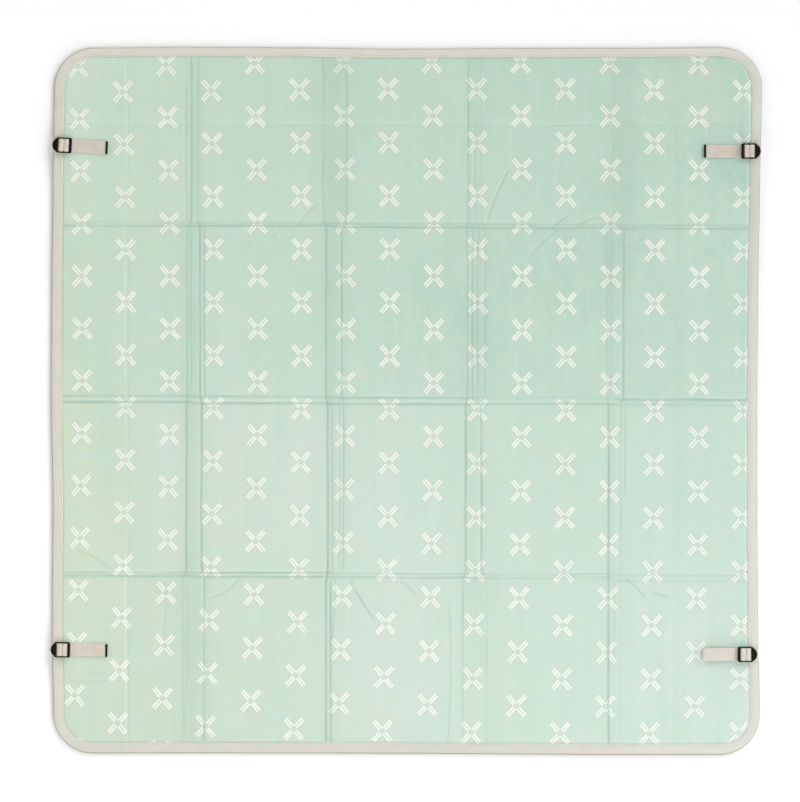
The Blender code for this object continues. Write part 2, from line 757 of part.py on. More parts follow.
def main():
    """Clear the scene and build every piece of the mat."""
    for item in list(bpy.data.objects):
        bpy.data.objects.remove(item)
    parts = new_collection(OBJECT_NAME)
    cutters = new_collection("cutters")
    make_mat(parts)
    make_binding(parts)
    frame = buckle_mesh(cutters)
    for name in STRAPS:
        make_strap(name, parts)
        make_tip(name, parts)
        buckle = make_buckle(name, frame.copy(), parts)
        buckle.data.materials.clear()
        buckle.data.materials.append(new_material("buckle_plastic_" + name, "hardware"))


main()
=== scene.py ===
"""The looks of a baby play mat that lies open on the floor, seen from straight above.

The printed face, the back cloth, the edge tape, the webbing and the buckles are fine meshes on the
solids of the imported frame. The origin is on the floor under the middle of the mat, +Y is the top
edge of the photograph and +X its right edge. Tables are in millimetres, and the model is in metres.
"""

import math

import bmesh
import bpy
import numpy as np
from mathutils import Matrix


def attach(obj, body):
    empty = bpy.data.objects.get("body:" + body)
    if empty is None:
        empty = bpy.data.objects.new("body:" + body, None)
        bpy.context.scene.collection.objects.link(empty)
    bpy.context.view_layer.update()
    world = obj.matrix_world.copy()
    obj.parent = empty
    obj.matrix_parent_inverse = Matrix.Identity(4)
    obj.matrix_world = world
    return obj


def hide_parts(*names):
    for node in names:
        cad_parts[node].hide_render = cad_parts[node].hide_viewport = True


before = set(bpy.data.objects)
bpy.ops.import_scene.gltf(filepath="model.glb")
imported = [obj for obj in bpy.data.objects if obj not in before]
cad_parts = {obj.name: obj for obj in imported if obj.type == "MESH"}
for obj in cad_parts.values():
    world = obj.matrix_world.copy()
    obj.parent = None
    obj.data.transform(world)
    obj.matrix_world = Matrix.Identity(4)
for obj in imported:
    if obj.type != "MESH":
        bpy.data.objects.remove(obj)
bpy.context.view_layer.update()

MM = 0.001
BODY = "root"

# The camera hangs straight over the mat, a little left of its middle
CAMERA_PLACE = (-11.2 * MM, -0.3 * MM, 4.405)
CAMERA_LENS = 100.0
CAMERA_SENSOR = 36.0

# The sheet and its binding
HALF_SIDE = 700.0 * MM
CORNER_RADIUS = 80.0 * MM
STRAIGHT_HALF = HALF_SIDE - CORNER_RADIUS
FIELD_THICKNESS = 3.8 * MM
GAP = 0.3 * MM
TAPE_THICKNESS = 0.8 * MM
TONGUE_THICKNESS = 2.0 * MM
TAPE_WIDTH = 21.0 * MM
TAPE_WIDTH_BY_SIDE = {"right": 20.0 * MM, "top": 18.0 * MM, "left": 20.0 * MM, "bottom": 21.0 * MM}
TONGUE_BOTTOM = TAPE_THICKNESS + GAP
TONGUE_TOP = TONGUE_BOTTOM + TONGUE_THICKNESS
BINDING_HEIGHT = TONGUE_TOP + GAP + TAPE_THICKNESS
FOLD_RADIUS = BINDING_HEIGHT / 2
TONGUE_INSET = 2.2 * MM
SHOULDER = 4.0 * MM
TONGUE_END = TAPE_WIDTH + GAP

# How far each side of the outline lies outside a true square, in mm, at seven even places along it:
# the left and right sides from top to bottom, the top and bottom sides from left to right
OUTLINE_REACH = 630.0 * MM
OUTLINE_BAND = 150.0 * MM
OUTLINE_DRIFT = {
    "left": (-5.3, -2.3, -0.1, 0.9, -2.5, -0.9, -3.4),
    "right": (4.6, 0.2, -3.3, -5.0, -4.9, -4.0, 0.2),
    "top": (-2.3, -1.0, -2.0, -4.7, -3.1, -2.9, -1.6),
    "bottom": (-3.2, -3.6, -3.2, -2.7, -1.3, -0.1, -0.5),
}

# Folds that run up the mat. Each is a pair of creases, and has one row for each row of panels, from
# the top: place of the left and right crease in mm, their strengths, the rise of the band between
# them in mm, and the share of wide soft painted shade round the fold
UPRIGHT_FOLDS = (
    ((-424, -411, 0.9, 0.6, 0.2, 0.45), (-432, -407, 0.7, 1.3, 0.3, 0.60), (-434, -404, 1.5, 1.6, 0.5, 0.65),
     (-440, -399, 0.6, 1.0, 0.1, 0.50)),
    ((-163, -117, 0.6, 0.8, 0.0, 0.90), (-158, -127, 1.2, 1.3, 0.3, 0.60), (-155, -124, 1.6, 1.0, 0.4, 0.55),
     (-158, -149, 1.6, 1.5, 0.0, 0.45)),
    ((123, 149, 1.0, 0.3, 0.1, 0.30), (121, 157, 0.6, 0.6, 0.2, 0.60), (118, 149, 1.4, 1.4, 0.5, 0.35),
     (112, 159, 0.8, 0.5, 0.1, 0.20)),
    ((410, 441, 0.3, 0.2, 0.0, 0.50), (398, 430, 0.5, 1.3, 0.2, 0.50), (400, 423, 1.3, 0.5, 0.5, 0.20),
     (400, 424, 1.4, 0.2, 0.3, 0.25)),
)

# Folds that run across the mat, with one row for each column of panels, from the left: place of the
# upper and lower crease in mm, and then as above
CROSS_FOLDS = (
    ((352, 346, 0.5, 1.0, 0.2, 0.20), (352, 346, 0.9, 1.5, 0.5, 0.25), (349, 343, 1.1, 1.6, 0.1, 0.25),
     (348, 341, 0.9, 1.2, 0.0, 0.25), (346, 340, 1.0, 1.1, 0.1, 0.20)),
    ((10, -2, 0.9, 1.7, 0.4, 0.20), (8, -5, 0.9, 1.6, 0.6, 0.20), (6, -6, 1.2, 1.5, 0.6, 0.15),
     (6, -6, 0.3, 1.2, 0.3, 0.20), (2, -8, 1.5, 0.6, 0.3, 0.25)),
    ((-340, -346, 1.0, 1.3, 0.1, 0.15), (-340, -348, 1.4, 1.6, 0.3, 0.25), (-342, -349, 0.9, 1.1, 0.2, 0.10),
     (-343, -350, 0.7, 0.7, 0.2, 0.15), (-345, -356, 0.7, 0.4, 0.2, 0.15)),
)
PANEL_BLEND = 15.0 * MM
LINE_WOBBLE = 0.8 * MM

# A crease is a sharp valley with wide skirts. It grows faint where it runs aslant
CREASE_DEPTH = 0.5 * MM
CREASE_WIDTH = 2.3 * MM
CREASE_UNEVENNESS = 0.4
CREASE_RATE = 1.7
WIDE_SHADE_RATE = 0.6
SKIRT_WIDTH = 11.0 * MM
SKIRT_SHARE = 0.3
SLANT_FADING = 1.5
DEEPEST_SHARE = 0.5

# Painted shade in the creases and round each fold, and a painted highlight beside each crease
SHADE_WIDTH = 2.2 * MM
SHADE_SHARE = 1.3
UPRIGHT_SHADE_REACH = 11.0 * MM
CROSS_SHADE_REACH = 5.0 * MM
HIGHLIGHT_PLACE = 5.0 * MM
HIGHLIGHT_WIDTH = 2.6 * MM
UPRIGHT_HIGHLIGHT = 0.08
CROSS_HIGHLIGHT = 0.28
SLIGHT_SHADE = 0.25
WRINKLE_SHADE = 1.5
WRINKLE_HIGHLIGHT = 0.4

# Painted light on the cloth along the tape's inner edge at the left and right sides, lifting the shade there
SIDE_LIGHT = {"left": 0.3, "right": 0.65}
SIDE_LIGHT_PLACE = 22.0 * MM
SIDE_LIGHT_WIDTH = 3.5 * MM
SIDE_LIGHT_FROM = 620.0 * MM
SIDE_LIGHT_FULL = 640.0 * MM

# Slight single creases: the way they run, their place, their depth and the rise beside them, in mm.
# The rise is on the side of the left or top edge
SLIGHT_CREASES = (("upright", -550, 0.4, 0.25), ("upright", 538, 0.1, -0.4), ("across", 545, 0.7, 0.6))
SLIGHT_WOBBLE = 0.8 * MM
SLIGHT_WIDTH = 2.2 * MM
SLIGHT_RISE_PLACE = 8.0 * MM
SLIGHT_RISE_WIDTH = 7.0 * MM

# Thin wrinkles: both ends, the bow between them, the depth and half the width, in mm
WRINKLES = (
    (-215, 344, -177, 387, 3, 0.6, 2.2),
    (-264, 322, -248, 338, 1, 0.6, 2.0),
    (161, 358, 202, 456, 3, 0.7, 2.2),
    (291, 344, 325, 368, 2, 0.7, 2.2),
    (335, 348, 378, 363, 1, 0.6, 2.0),
    (246, 288, 297, 334, 3, 0.6, 2.2),
    (-650, -295, -581, -334, 3, 0.5, 2.2),
    (-383, -388, -332, -354, -5, 0.7, 2.2),
    (-110, -354, -64, -433, -2, 0.9, 2.2),
    (-11, -358, 22, -386, 2, 0.7, 2.2),
    (434, -352, 473, -390, 2, 0.8, 2.2),
    (483, -378, 519, -390, 1, 0.7, 2.2),
    (-668, -536, -590, -537, 1, 0.35, 2.2),
    (-668, -552, -590, -553, -1, 0.35, 2.2),
    (85, -404, 82, -675, 4, 0.5, 2.0),
    (-434, 355, -435, 630, 1, 0.6, 1.8),
    (-398, 10, -399, 335, 1, 0.8, 1.8),
    (-424, 15, -425, 335, 1, 0.5, 1.8),
    (-132, 5, -132, -330, 1, 0.6, 1.8),
    (-148, 0, -146, -340, 1, 0.5, 1.8),
    (-140, -352, -147, -470, 2, 0.6, 1.8),
    (131, 12, 131, 335, 1, 0.6, 1.8),
    (141, 12, 142, 335, 1, 0.5, 1.8),
    (137, 352, 137, 560, 1, 0.4, 1.8),
    (149, -352, 149, -520, 1, 0.3, 1.8),
    (411, -360, 411, -500, 1, 0.4, 1.8),
    (-433, -353, -434, -590, 1, 0.4, 1.8),
    (-476, -360, -479, -470, 1, 0.3, 1.8),
    (405, 12, 404, 335, 1, 0.3, 1.8),
    (432, -10, 431, -190, 1, 0.5, 1.8),
)

WRINKLE_WOBBLE = 0.5 * MM
WRINKLE_FADE = 1.0 / 12.0
WRINKLE_RISE_SHARE = 0.25
WRINKLE_RISE_PLACE = 4.5 * MM
WRINKLE_RISE_WIDTH = 3.5 * MM

# Slow waves of the panels: how fast each turns to the right and up, in radians a metre, the angle at
# the origin and its share
PANEL_RISE = 0.16 * MM
PANEL_WAVES = (
    (21.0, 9.0, 0.6, 1.0), (-13.0, 26.0, 2.0, 0.8), (38.0, 31.0, 4.0, 0.6), (-52.0, 43.0, 1.0, 0.5),
)

# The grid of the sheets: fine beside the creases, coarse in the middle of a panel
FINE_STEP = 1.3 * MM
FINE_REACH = 4.0 * MM
STEP_GROWTH = 0.45
COARSE_STEP = 11.0 * MM
BACK_COARSENESS = 3.0
BACK_HOLLOW = 0.25
WRINKLE_REACH = 5.0 * MM
WRINKLE_EDGE = 2.2 * MM
WRINKLE_ROUNDS = 3
WRINKLE_MARGIN = 0.05

# Webbing
WEB_THICKNESS = 1.3 * MM
WEB_WIDTH = 25.0 * MM
WEB_GAP = 0.4 * MM
SEWN_LENGTH = 32.0 * MM
LIFT = WEB_THICKNESS + WEB_GAP
STRAP_PLACE = 500.0 * MM

# The sheet is raised over the webbing under its edge: fully as far as LIFT_FLAT beside and LIFT_DEEP
# in from the edge, and no more past LIFT_WIDE and LIFT_GONE
LIFT_FLAT = 26.0 * MM
LIFT_WIDE = 72.0 * MM
LIFT_DEEP = 36.0 * MM
LIFT_GONE = 78.0 * MM

# Where the straps press the ground flat: where this begins and is full, in from the edge and beside
PRESSED_LENGTH = (145.0 * MM, 115.0 * MM)
PRESSED_HALF_WIDTH = (38.0 * MM, 18.0 * MM)

# The webbing's way round the edge. DECK is how high its middle line lies over the bound edge
WRAP_RADIUS = FOLD_RADIUS + WEB_GAP + WEB_THICKNESS / 2
WRAP_MIDDLE = LIFT + FOLD_RADIUS
DECK = WRAP_MIDDLE + WRAP_RADIUS

# The straps: side, height of the middle on the mat, start of the buckle's frame from the mat's edge,
# free end from the mat's edge, all in mm, the lean of buckle and tail in degrees, how it ends, and how
# much paler its webbing is
STRAPS = {
    "left_top": ("left", 505.5, 6.6, 106.3, -2.0, "flat", 0.15),
    "right_top": ("right", 492.7, 8.1, 110.3, 1.4, "flat", 0.0),
    "left_bottom": ("left", -490.9, 5.1, 107.4, -2.2, "flat", 0.1),
    "right_bottom": ("right", -500.2, 11.2, 110.5, -1.4, "turned_under", 0.9),
}
LEAN_FROM = 3.0 * MM
LEAN_FULL = 6.5 * MM
TURNED_UNDER_LENGTH = 16.0 * MM
# The webbing keeps its darker colour over the last SHADED_END before its free end, as painted shade at a
# turned-under end
SHADED_END = 7.0 * MM
PINCH_SHARE = 0.05
PINCH_WIDTH = 1.6 * MM
STRAP_STEP = 0.8 * MM
TAIL_PLACES = (50.0 * MM, 65.0 * MM, 80.0 * MM)
RAISED_TAIL_PLACES = (60.0 * MM, 80.0 * MM)

# The webbing's way from under the frame's outer bar over the first rung and down to the middle, in
# mm: inward from the frame's outer end and up from DECK. The way on is its mirror image
THREADING = (
    (3.4, 0.0), (4.4, 0.15), (5.0, 0.8), (5.4, 1.8), (5.9, 2.7), (7.0, 3.25), (9.0, 3.4), (11.4, 3.4),
    (13.2, 3.1), (14.4, 2.3), (15.0, 1.6),
)

# The ladder-lock buckle
FRAME_LENGTH = 31.0 * MM
FRAME_WIDTH = 30.0 * MM
FRAME_CORNER = 3.5 * MM
FRAME_LOW = DECK - 0.35 * MM
BAR_LOW = DECK + WEB_THICKNESS / 2 + GAP
FRAME_HIGH = BAR_LOW + 3.0 * MM
WINDOW_FROM = 3.5 * MM
WINDOW_TO = 26.5 * MM
WINDOW_WIDTH = WEB_WIDTH + 1.0 * MM
WINDOW_CORNER = 1.2 * MM
TOOTH_HEIGHT = 0.55 * MM
TOOTH_WIDTH = 1.1 * MM
RUNG_PLACES = (9.0 * MM, 21.0 * MM)
RUNG_RADIUS = 1.2 * MM
RUNG_RISE = 1.15 * MM
TAB_HALF_WIDTH = 12.5 * MM
TAB_LENGTH = 7.5 * MM
TAB_ROOT = 5.0 * MM
TAB_DROP = 1.1 * MM
RIB_DEPTH = 0.22 * MM
RIB_PITCH = 1.7 * MM
BEVEL = 0.7 * MM
FRAME_RAYS = 240
FARTHEST_REACH = 40.0 * MM
HALVINGS = 40

# The hard tip on the webbing's end
TIP_WIDTH = 25.4 * MM
TIP_LENGTH = 4.2 * MM
TIP_THICKNESS = 2.7 * MM
TIP_NOSE = 0.9 * MM
TIP_SLOT_DEPTH = 2.4 * MM

# The tape's top: its crown, its waving edge, the dent along the stitches and the puckers beside it
TOP_SHARES = (0.14, 0.26, 0.38, 0.5, 0.6, 0.68, 0.745, 0.785, 0.82, 0.855, 0.9, 0.95)
TAPE_CROWN = 0.28 * MM
EDGE_WAVER = 0.35 * MM
EDGE_PITCH = 41.0 * MM
DENT_DEPTH = 0.22 * MM
DENT_WAVER = 0.08 * MM
DENT_WIDTH = 1.1 * MM
DENT_PITCH = 8.3 * MM
PUCKER_RISE = 0.09 * MM
PUCKER_WIDTH = 5.0 * MM
PUCKER_PITCH = 11.7 * MM

# Stitching along the binding
STITCH_INSET = 3.6 * MM
STITCH_PITCH = 3.6 * MM
STITCH_HALF_LENGTH = 1.45 * MM
THREAD_RADIUS = 0.28 * MM
THREAD_SIDES = 5
TOP_THREAD_RISE = 0.12 * MM
LOW_THREAD_RISE = 0.18 * MM
NO_LIFT = 0.05 * MM

# Rings of one stitch: share of its half length, size and rise in mm. Then those of a rung and of a
# hard tip: share of the half width and size
STITCH_RINGS = (
    (-1.0, 0.45, -0.30), (-0.72, 0.95, 0.02), (0.0, 1.0, 0.10), (0.72, 0.95, 0.02), (1.0, 0.45, -0.30),
)
RUNG_RINGS = ((-1.0, 1.5), (-0.97, 1.2), (-0.93, 1.0), (0.0, 1.0), (0.93, 1.0), (0.97, 1.2), (1.0, 1.5))
TIP_RINGS = (
    (-1.0, 0.55), (-0.985, 0.82), (-0.95, 0.96), (-0.9, 1.0), (0.9, 1.0), (0.95, 0.96), (0.985, 0.82),
    (1.0, 0.55),
)

# The printed crosses stand on a staggered lattice, every second column on every second half row
PRINT_MIDDLE = (11.3 * MM, -17.3 * MM)
PRINT_COLUMNS = 7.5
PRINT_HALF_ROWS = 13.0
PRINT_HALF_WIDTH = 653.2 * MM
PRINT_HALF_HEIGHT = 686.7 * MM

# How the cloth's stretch has moved the print. Each term has the powers of the shares of the way right
# and down from the print's middle, and the drift in mm
PRINT_DRIFT_RIGHT = ((0, 1, -6.0), (0, 2, -9.5), (1, 2, 4.6), (2, 0, 2.3), (1, 1, 0.8), (2, 1, 1.0))
PRINT_DRIFT_DOWN = ((1, 0, -4.2), (1, 1, -7.0), (2, 1, 7.5), (0, 2, -1.5), (0, 3, -1.0), (2, 0, 1.4),
                    (1, 2, -0.8))

# One cross: four arms of two strokes each
CROSS_ANGLE = math.radians(48.8)
ARM_FROM = 5.2 * MM
ARM_TO = 26.3 * MM
STROKE_MIDDLE = 2.75 * MM
STROKE_HALF_WIDTH = 1.47 * MM
INK_SOFTNESS = 0.35 * MM
THIN_INK = 0.04
CLOSED_INK = 0.32
RIM_WIDTH = 7.0 * MM
INK_SHARE = 0.90
RIM_SHARE = 0.35
PAINTED_SHADING_SHARE = 0.35
INK_COLOUR = (0.84, 0.89, 0.81)
RIM_COLOUR = (0.61, 0.62, 0.54)
SHADE_COLOUR = (0.33, 0.48, 0.40)
HIGHLIGHT_COLOUR = (0.82, 0.90, 0.84)

# Pitch of the cloth's threads, 0.9 mm, in columns and half rows of the print
WARP_PITCH = 0.9 / 87.0
WEFT_PITCH = 0.9 / 53.0

# The mint ground: its colour at the four corners, which is partly painted shade and light, and its soft
# patches as noise scale, colour and share
GROUND_CORNERS = {
    "upper_left": (0.607, 0.731, 0.607),
    "upper_right": (0.431, 0.606, 0.491),
    "lower_left": (0.521, 0.587, 0.456),
    "lower_right": (0.622, 0.728, 0.698),
}
GROUND_PATCHES = (
    (4.0, (0.50, 0.67, 0.50), 0.30),
    (9.0, (0.60, 0.67, 0.56), 0.35),
    (20.0, (0.47, 0.67, 0.61), 0.35),
    (45.0, (0.61, 0.67, 0.48), 0.35),
    (90.0, (0.47, 0.68, 0.61), 0.40),
    (190.0, (0.59, 0.67, 0.52), 0.30),
)
STREAKS = ((38.0, (0.46, 0.64, 0.56), 0.30), (85.0, (0.59, 0.70, 0.62), 0.20))
STREAK_LENGTH = 14.0

# Soft hue patches on the tape and the webbing: noise scale, colour and share
TAPE_PATCHES = (
    (22.0, (0.71, 0.63, 0.59), 0.40),
    (31.0, (0.65, 0.67, 0.55), 0.40),
    (75.0, (0.66, 0.62, 0.60), 0.35),
)
WEBBING_PATCHES = ((35.0, (0.60, 0.59, 0.46), 0.50), (48.0, (0.73, 0.58, 0.54), 0.40))

# Where the tape is tinted as a whole: the places, in m, between which each tint comes in towards the
# right and upwards, its share and its colour
TAPE_TINTS = (
    (0.30, 0.69, -2.00, -1.00, 0.50, (0.69, 0.70, 0.655)),
    (-2.00, -1.00, 0.66, 0.69, 0.40, (0.74, 0.68, 0.60)),
    # Darker up the right side towards the top: painted shade
    (0.66, 0.69, -0.10, 0.46, 0.65, (0.56, 0.58, 0.53)),
    (0.66, 0.69, 0.50, 0.56, 0.60, (0.66, 0.70, 0.62)),
    (0.40, 0.10, -0.66, -0.69, 0.40, (0.57, 0.565, 0.50)),
    (-0.66, -0.69, -2.00, -1.00, 0.30, (0.61, 0.60, 0.47)),
)

# Painted shade that differs from panel to panel, as shares of the deep tint, from the top and from the left
ROW_SHADES = (0.12, 0.30, 0.02, 0.04)
COLUMN_SHADES = (0.00, 0.02, 0.08, 0.12, 0.04)

# Large soft tints on the ground: middle and half sizes in mm, then the shares of an olive, a deep and
# a pale tint
OLIVE = (0.60, 0.68, 0.47)
DEEP = (0.38, 0.57, 0.48)
PALE = (0.665, 0.70, 0.695)
SOFT_TINTS = (
    (-670, 120, 80, 420, 0.55, 0.0, 0.0),
    (-640, -420, 130, 330, 0.40, 0.0, 0.15),
    (-520, -600, 120, 110, 0.30, 0.1, 0.0),
    (-530, 330, 60, 170, 0.35, 0.0, 0.0),
    (-300, 560, 330, 140, 0.12, 0.15, 0.0),
    (560, 600, 120, 110, 0.25, 0.0, 0.0),
    (640, 480, 110, 80, 0.0, 0.60, 0.0),
    (110, 200, 150, 120, 0.10, 0.30, 0.0),
    (330, 250, 160, 110, 0.10, 0.25, 0.0),
    (420, 430, 90, 160, 0.0, 0.25, 0.0),
    (-475, -170, 40, 180, 0.0, 0.0, 0.40),
    (-360, -100, 60, 420, 0.0, 0.0, 0.25),
    (-190, -150, 160, 210, 0.0, 0.0, 0.35),
    (10, -190, 110, 230, 0.0, 0.0, 0.35),
    (-40, -520, 150, 170, 0.0, 0.0, 0.35),
    (190, -540, 70, 170, 0.30, 0.0, 0.0),
    (560, -470, 160, 180, 0.0, 0.0, 0.25),
    (640, -500, 90, 45, 0.0, 0.20, 0.0),
)

# Low keys: azimuth, anticlockwise from +X, elevation and spread in degrees, strength and colour
KEYS = {
    "key_upper": (46.0, 22.0, 22.0, 1.60, (1.0, 0.99, 0.98)),
    "key_lower": (-38.0, 22.0, 22.0, 1.00, (1.0, 0.99, 0.98)),
}

# Fills: place and size in m, power and colour
FILLS = {
    "near_fill": ((0.1, -1.4, 2.2), (2.0, 0.8), 17.0, (0.99, 1.0, 1.0)),
    "left_fill": ((-1.9, 0.1, 2.2), (0.8, 2.0), 6.0, (1.0, 0.97, 0.80)),
    "right_fill": ((1.9, -0.1, 2.2), (0.8, 2.0), 6.0, (0.80, 0.97, 1.0)),
}

# The surround: strength of its low band and of its dome, and where they blend, between 0 for level
# and 1 for straight up
BAND_LEVEL = 3.5
DOME_LEVEL = 0.18
BAND_TOP = (0.22, 0.42)

FLOOR_REACH = 8.0
FLOOR_CLEARANCE = 0.05 * MM


def ramp(value, start, end):
    """0 at start and before it, 1 at end and past it, with a soft rise between. End may be below start."""
    t = np.clip((value - start) / (end - start), 0.0, 1.0)
    return t * t * (3.0 - 2.0 * t)


def bump(distance, width):
    """A soft bump of height 1 at distance 0."""
    return np.exp(-(distance / width) ** 2)


def wobble(t, seed):
    """A slow unevenness between -1 and 1 along a line, always the same for one seed."""
    waves = ((11.0, 0.45, 1.7), (23.0, 0.3, 2.6), (47.0, 0.25, 3.5))
    return sum(share * np.sin(t * rate + seed * start) for rate, share, start in waves)


def along(values, t):
    """The value at t, from 0 to 1, of a row of evenly spaced values joined by soft steps."""
    values = np.asarray(values, float)
    place = np.clip(t, 0.0, 1.0) * (len(values) - 1)
    first = np.minimum(place.astype(int), len(values) - 2)
    return values[first] + (values[first + 1] - values[first]) * ramp(place - first, 0.0, 1.0)


def piecewise(keys, values, x):
    """The value at x of straight runs between the keys. Each value may vary from point to point."""
    result = values[-1] + 0.0 * x
    for k in range(len(keys) - 2, -1, -1):
        share = (x - keys[k]) / (keys[k + 1] - keys[k])
        result = np.where(x <= keys[k + 1], values[k] + (values[k + 1] - values[k]) * share, result)
    return result


def by_panel(values, place, borders):
    """The value of the panel at place, where values change softly at the falling borders."""
    value = values[0] + 0.0 * place
    for border, before, after in zip(borders, values, values[1:]):
        value = value + (after - before) * ramp(border - place, -PANEL_BLEND, PANEL_BLEND)
    return value


def fold_value(fold, column, other, borders):
    """One column of a fold's table, for points with the given other coordinate."""
    return by_panel([row[column] for row in fold], other, borders)


def fold_middle(fold):
    """The mean place of a fold's two creases, in metres."""
    return MM * float(np.mean([row[:2] for row in fold]))


def fold_spread(fold):
    """Half the mean distance between a fold's two creases, in metres."""
    return MM * float(np.mean([abs(row[1] - row[0]) for row in fold])) / 2


ROW_BORDERS = [fold_middle(fold) for fold in CROSS_FOLDS]
COLUMN_BORDERS = [-fold_middle(fold) for fold in UPRIGHT_FOLDS]


def crease_line(fold, side, other, borders):
    """Where one crease of a fold lies, for points with the given other coordinate."""
    seed = abs(fold[0][side]) % 17 + side
    return MM * fold_value(fold, side, other, borders) + LINE_WOBBLE * wobble(other, seed)


def shift_keys(folds, inner):
    """The even places of all creases, between two fixed ends."""
    keys = []
    for fold in folds:
        keys += [fold_middle(fold) - fold_spread(fold), fold_middle(fold) + fold_spread(fold)]
    return [-inner] + sorted(keys) + [inner]


def shifted(x, y):
    """Move points of the even grid to where the creases, which drift from panel to panel, lie."""
    inner = STRAIGHT_HALF
    columns = [crease_line(fold, side, y, ROW_BORDERS) for fold in UPRIGHT_FOLDS for side in (0, 1)]
    rows = [crease_line(fold, side, -x, COLUMN_BORDERS)
            for fold in reversed(CROSS_FOLDS) for side in (1, 0)]
    new_x = piecewise(shift_keys(UPRIGHT_FOLDS, inner), [-inner] + columns + [inner], x)
    new_y = piecewise(shift_keys(CROSS_FOLDS, inner), [-inner] + rows + [inner], y)
    return np.where(np.abs(x) < inner, new_x, x), np.where(np.abs(y) < inner, new_y, y)


def tape_width(out_x, out_y):
    """The tape's width where the outline faces along a unit vector."""
    side = np.where(out_x > 0, TAPE_WIDTH_BY_SIDE["right"], TAPE_WIDTH_BY_SIDE["left"])
    end = np.where(out_y > 0, TAPE_WIDTH_BY_SIDE["top"], TAPE_WIDTH_BY_SIDE["bottom"])
    return side * out_x ** 2 + end * out_y ** 2


def true_inset(inset, width):
    """Turn an inset of the even grid into one that follows the tape's own width."""
    beyond = (inset - TAPE_WIDTH) / (CORNER_RADIUS - TAPE_WIDTH)
    outside = inset * width / TAPE_WIDTH
    return np.where(inset < TAPE_WIDTH, outside, width + beyond * (CORNER_RADIUS - width))


def outline_place(x, y):
    """Base point on the outline, outward direction and inset, for points of the even grid."""
    inner = STRAIGHT_HALF
    side, end = np.where(x < 0, -1.0, 1.0), np.where(y < 0, -1.0, 1.0)
    over_x, over_y = np.abs(x) - inner, np.abs(y) - inner
    corner = (over_x > 0) & (over_y > 0)
    larger = np.maximum(np.maximum(over_x, over_y), 1e-9)
    turn = math.pi / 4 * np.clip(np.minimum(over_x, over_y) / larger, 0.0, 1.0)
    angle = np.where(over_x >= over_y, turn, math.pi / 2 - turn)
    on_side = over_x > over_y
    out_x = np.where(corner, side * np.cos(angle), np.where(on_side, side, 0.0))
    out_y = np.where(corner, end * np.sin(angle), np.where(on_side, 0.0, end))
    base_x = np.where(corner, side * inner + CORNER_RADIUS * out_x, np.where(on_side, side * HALF_SIDE, x))
    base_y = np.where(corner, end * inner + CORNER_RADIUS * out_y, np.where(on_side, y, end * HALF_SIDE))
    return base_x, base_y, out_x, out_y, CORNER_RADIUS - np.maximum(over_x, over_y)


def drifted(x, y):
    """Move points of the true square with the outline's drift, which fades inward."""
    up, across = 0.5 - y / OUTLINE_REACH / 2, 0.5 + x / OUTLINE_REACH / 2
    fade_x, fade_y = [ramp(np.abs(place), HALF_SIDE - OUTLINE_BAND, HALF_SIDE) for place in (x, y)]
    drift_x = np.where(x > 0, along(OUTLINE_DRIFT["right"], up), -along(OUTLINE_DRIFT["left"], up))
    drift_y = np.where(y > 0, along(OUTLINE_DRIFT["top"], across), -along(OUTLINE_DRIFT["bottom"], across))
    return x + MM * drift_x * fade_x, y + MM * drift_y * fade_y


def lift_at(x, y):
    """How far the sheet and its binding are raised over the webbing that runs under them."""
    inset = HALF_SIDE - np.abs(x)
    beside = np.abs(np.abs(y) - STRAP_PLACE)
    return LIFT * ramp(inset, LIFT_GONE, LIFT_DEEP) * ramp(beside, LIFT_WIDE, LIFT_FLAT)


def flat_place(x, y):
    """Where points of the even grid lie on the real mat."""
    shifted_x, shifted_y = shifted(x, y)
    base_x, base_y, out_x, out_y, inset = outline_place(shifted_x, shifted_y)
    depth = true_inset(inset, tape_width(out_x, out_y))
    in_band = inset < CORNER_RADIUS
    true_x = np.where(in_band, base_x - out_x * depth, shifted_x)
    true_y = np.where(in_band, base_y - out_y * depth, shifted_y)
    return drifted(true_x, true_y)


def trough(distance):
    """A crease's share of its depth at a distance from its line: a sharp valley with wide skirts."""
    return (1 - SKIRT_SHARE) * bump(distance, CREASE_WIDTH) + SKIRT_SHARE * bump(distance, SKIRT_WIDTH)


def fold_relief(fold, place, other, borders, seed, highlight, reach):
    """Height that a fold's pair of creases and the band between them add, and their painted shading.

    Painted shading below zero is a painted highlight beside a crease.
    """
    height, painted_shading = 0.0 * place, 0.0 * place
    lines = [crease_line(fold, side, other, borders) for side in (0, 1)]
    for side, line in enumerate(lines):
        strength = fold_value(fold, 2 + side, other, borders)
        strength = strength * (1.0 + CREASE_UNEVENNESS * wobble(other * CREASE_RATE, seed + side))
        slope = (crease_line(fold, side, other + MM, borders) - line) / MM
        strength = strength / (1.0 + (SLANT_FADING * slope) ** 2)
        height = height - CREASE_DEPTH * strength * trough(place - line)
        painted_shading = painted_shading + SHADE_SHARE * strength * bump(place - line, SHADE_WIDTH)
        painted_shading = painted_shading - highlight * strength * bump(place - line - HIGHLIGHT_PLACE, HIGHLIGHT_WIDTH)
    rise = MM * fold_value(fold, 4, other, borders)
    middle, half = (lines[0] + lines[1]) / 2, np.abs(lines[1] - lines[0]) / 2
    wide = fold_value(fold, 5, other, borders)
    wide = wide * (1.0 + CREASE_UNEVENNESS * wobble(other * WIDE_SHADE_RATE, seed + 3))
    painted_shading = painted_shading + wide * bump(place - middle, half + reach)
    return height + rise * np.clip(1.0 - ((place - middle) / half) ** 2, 0.0, 1.0), painted_shading


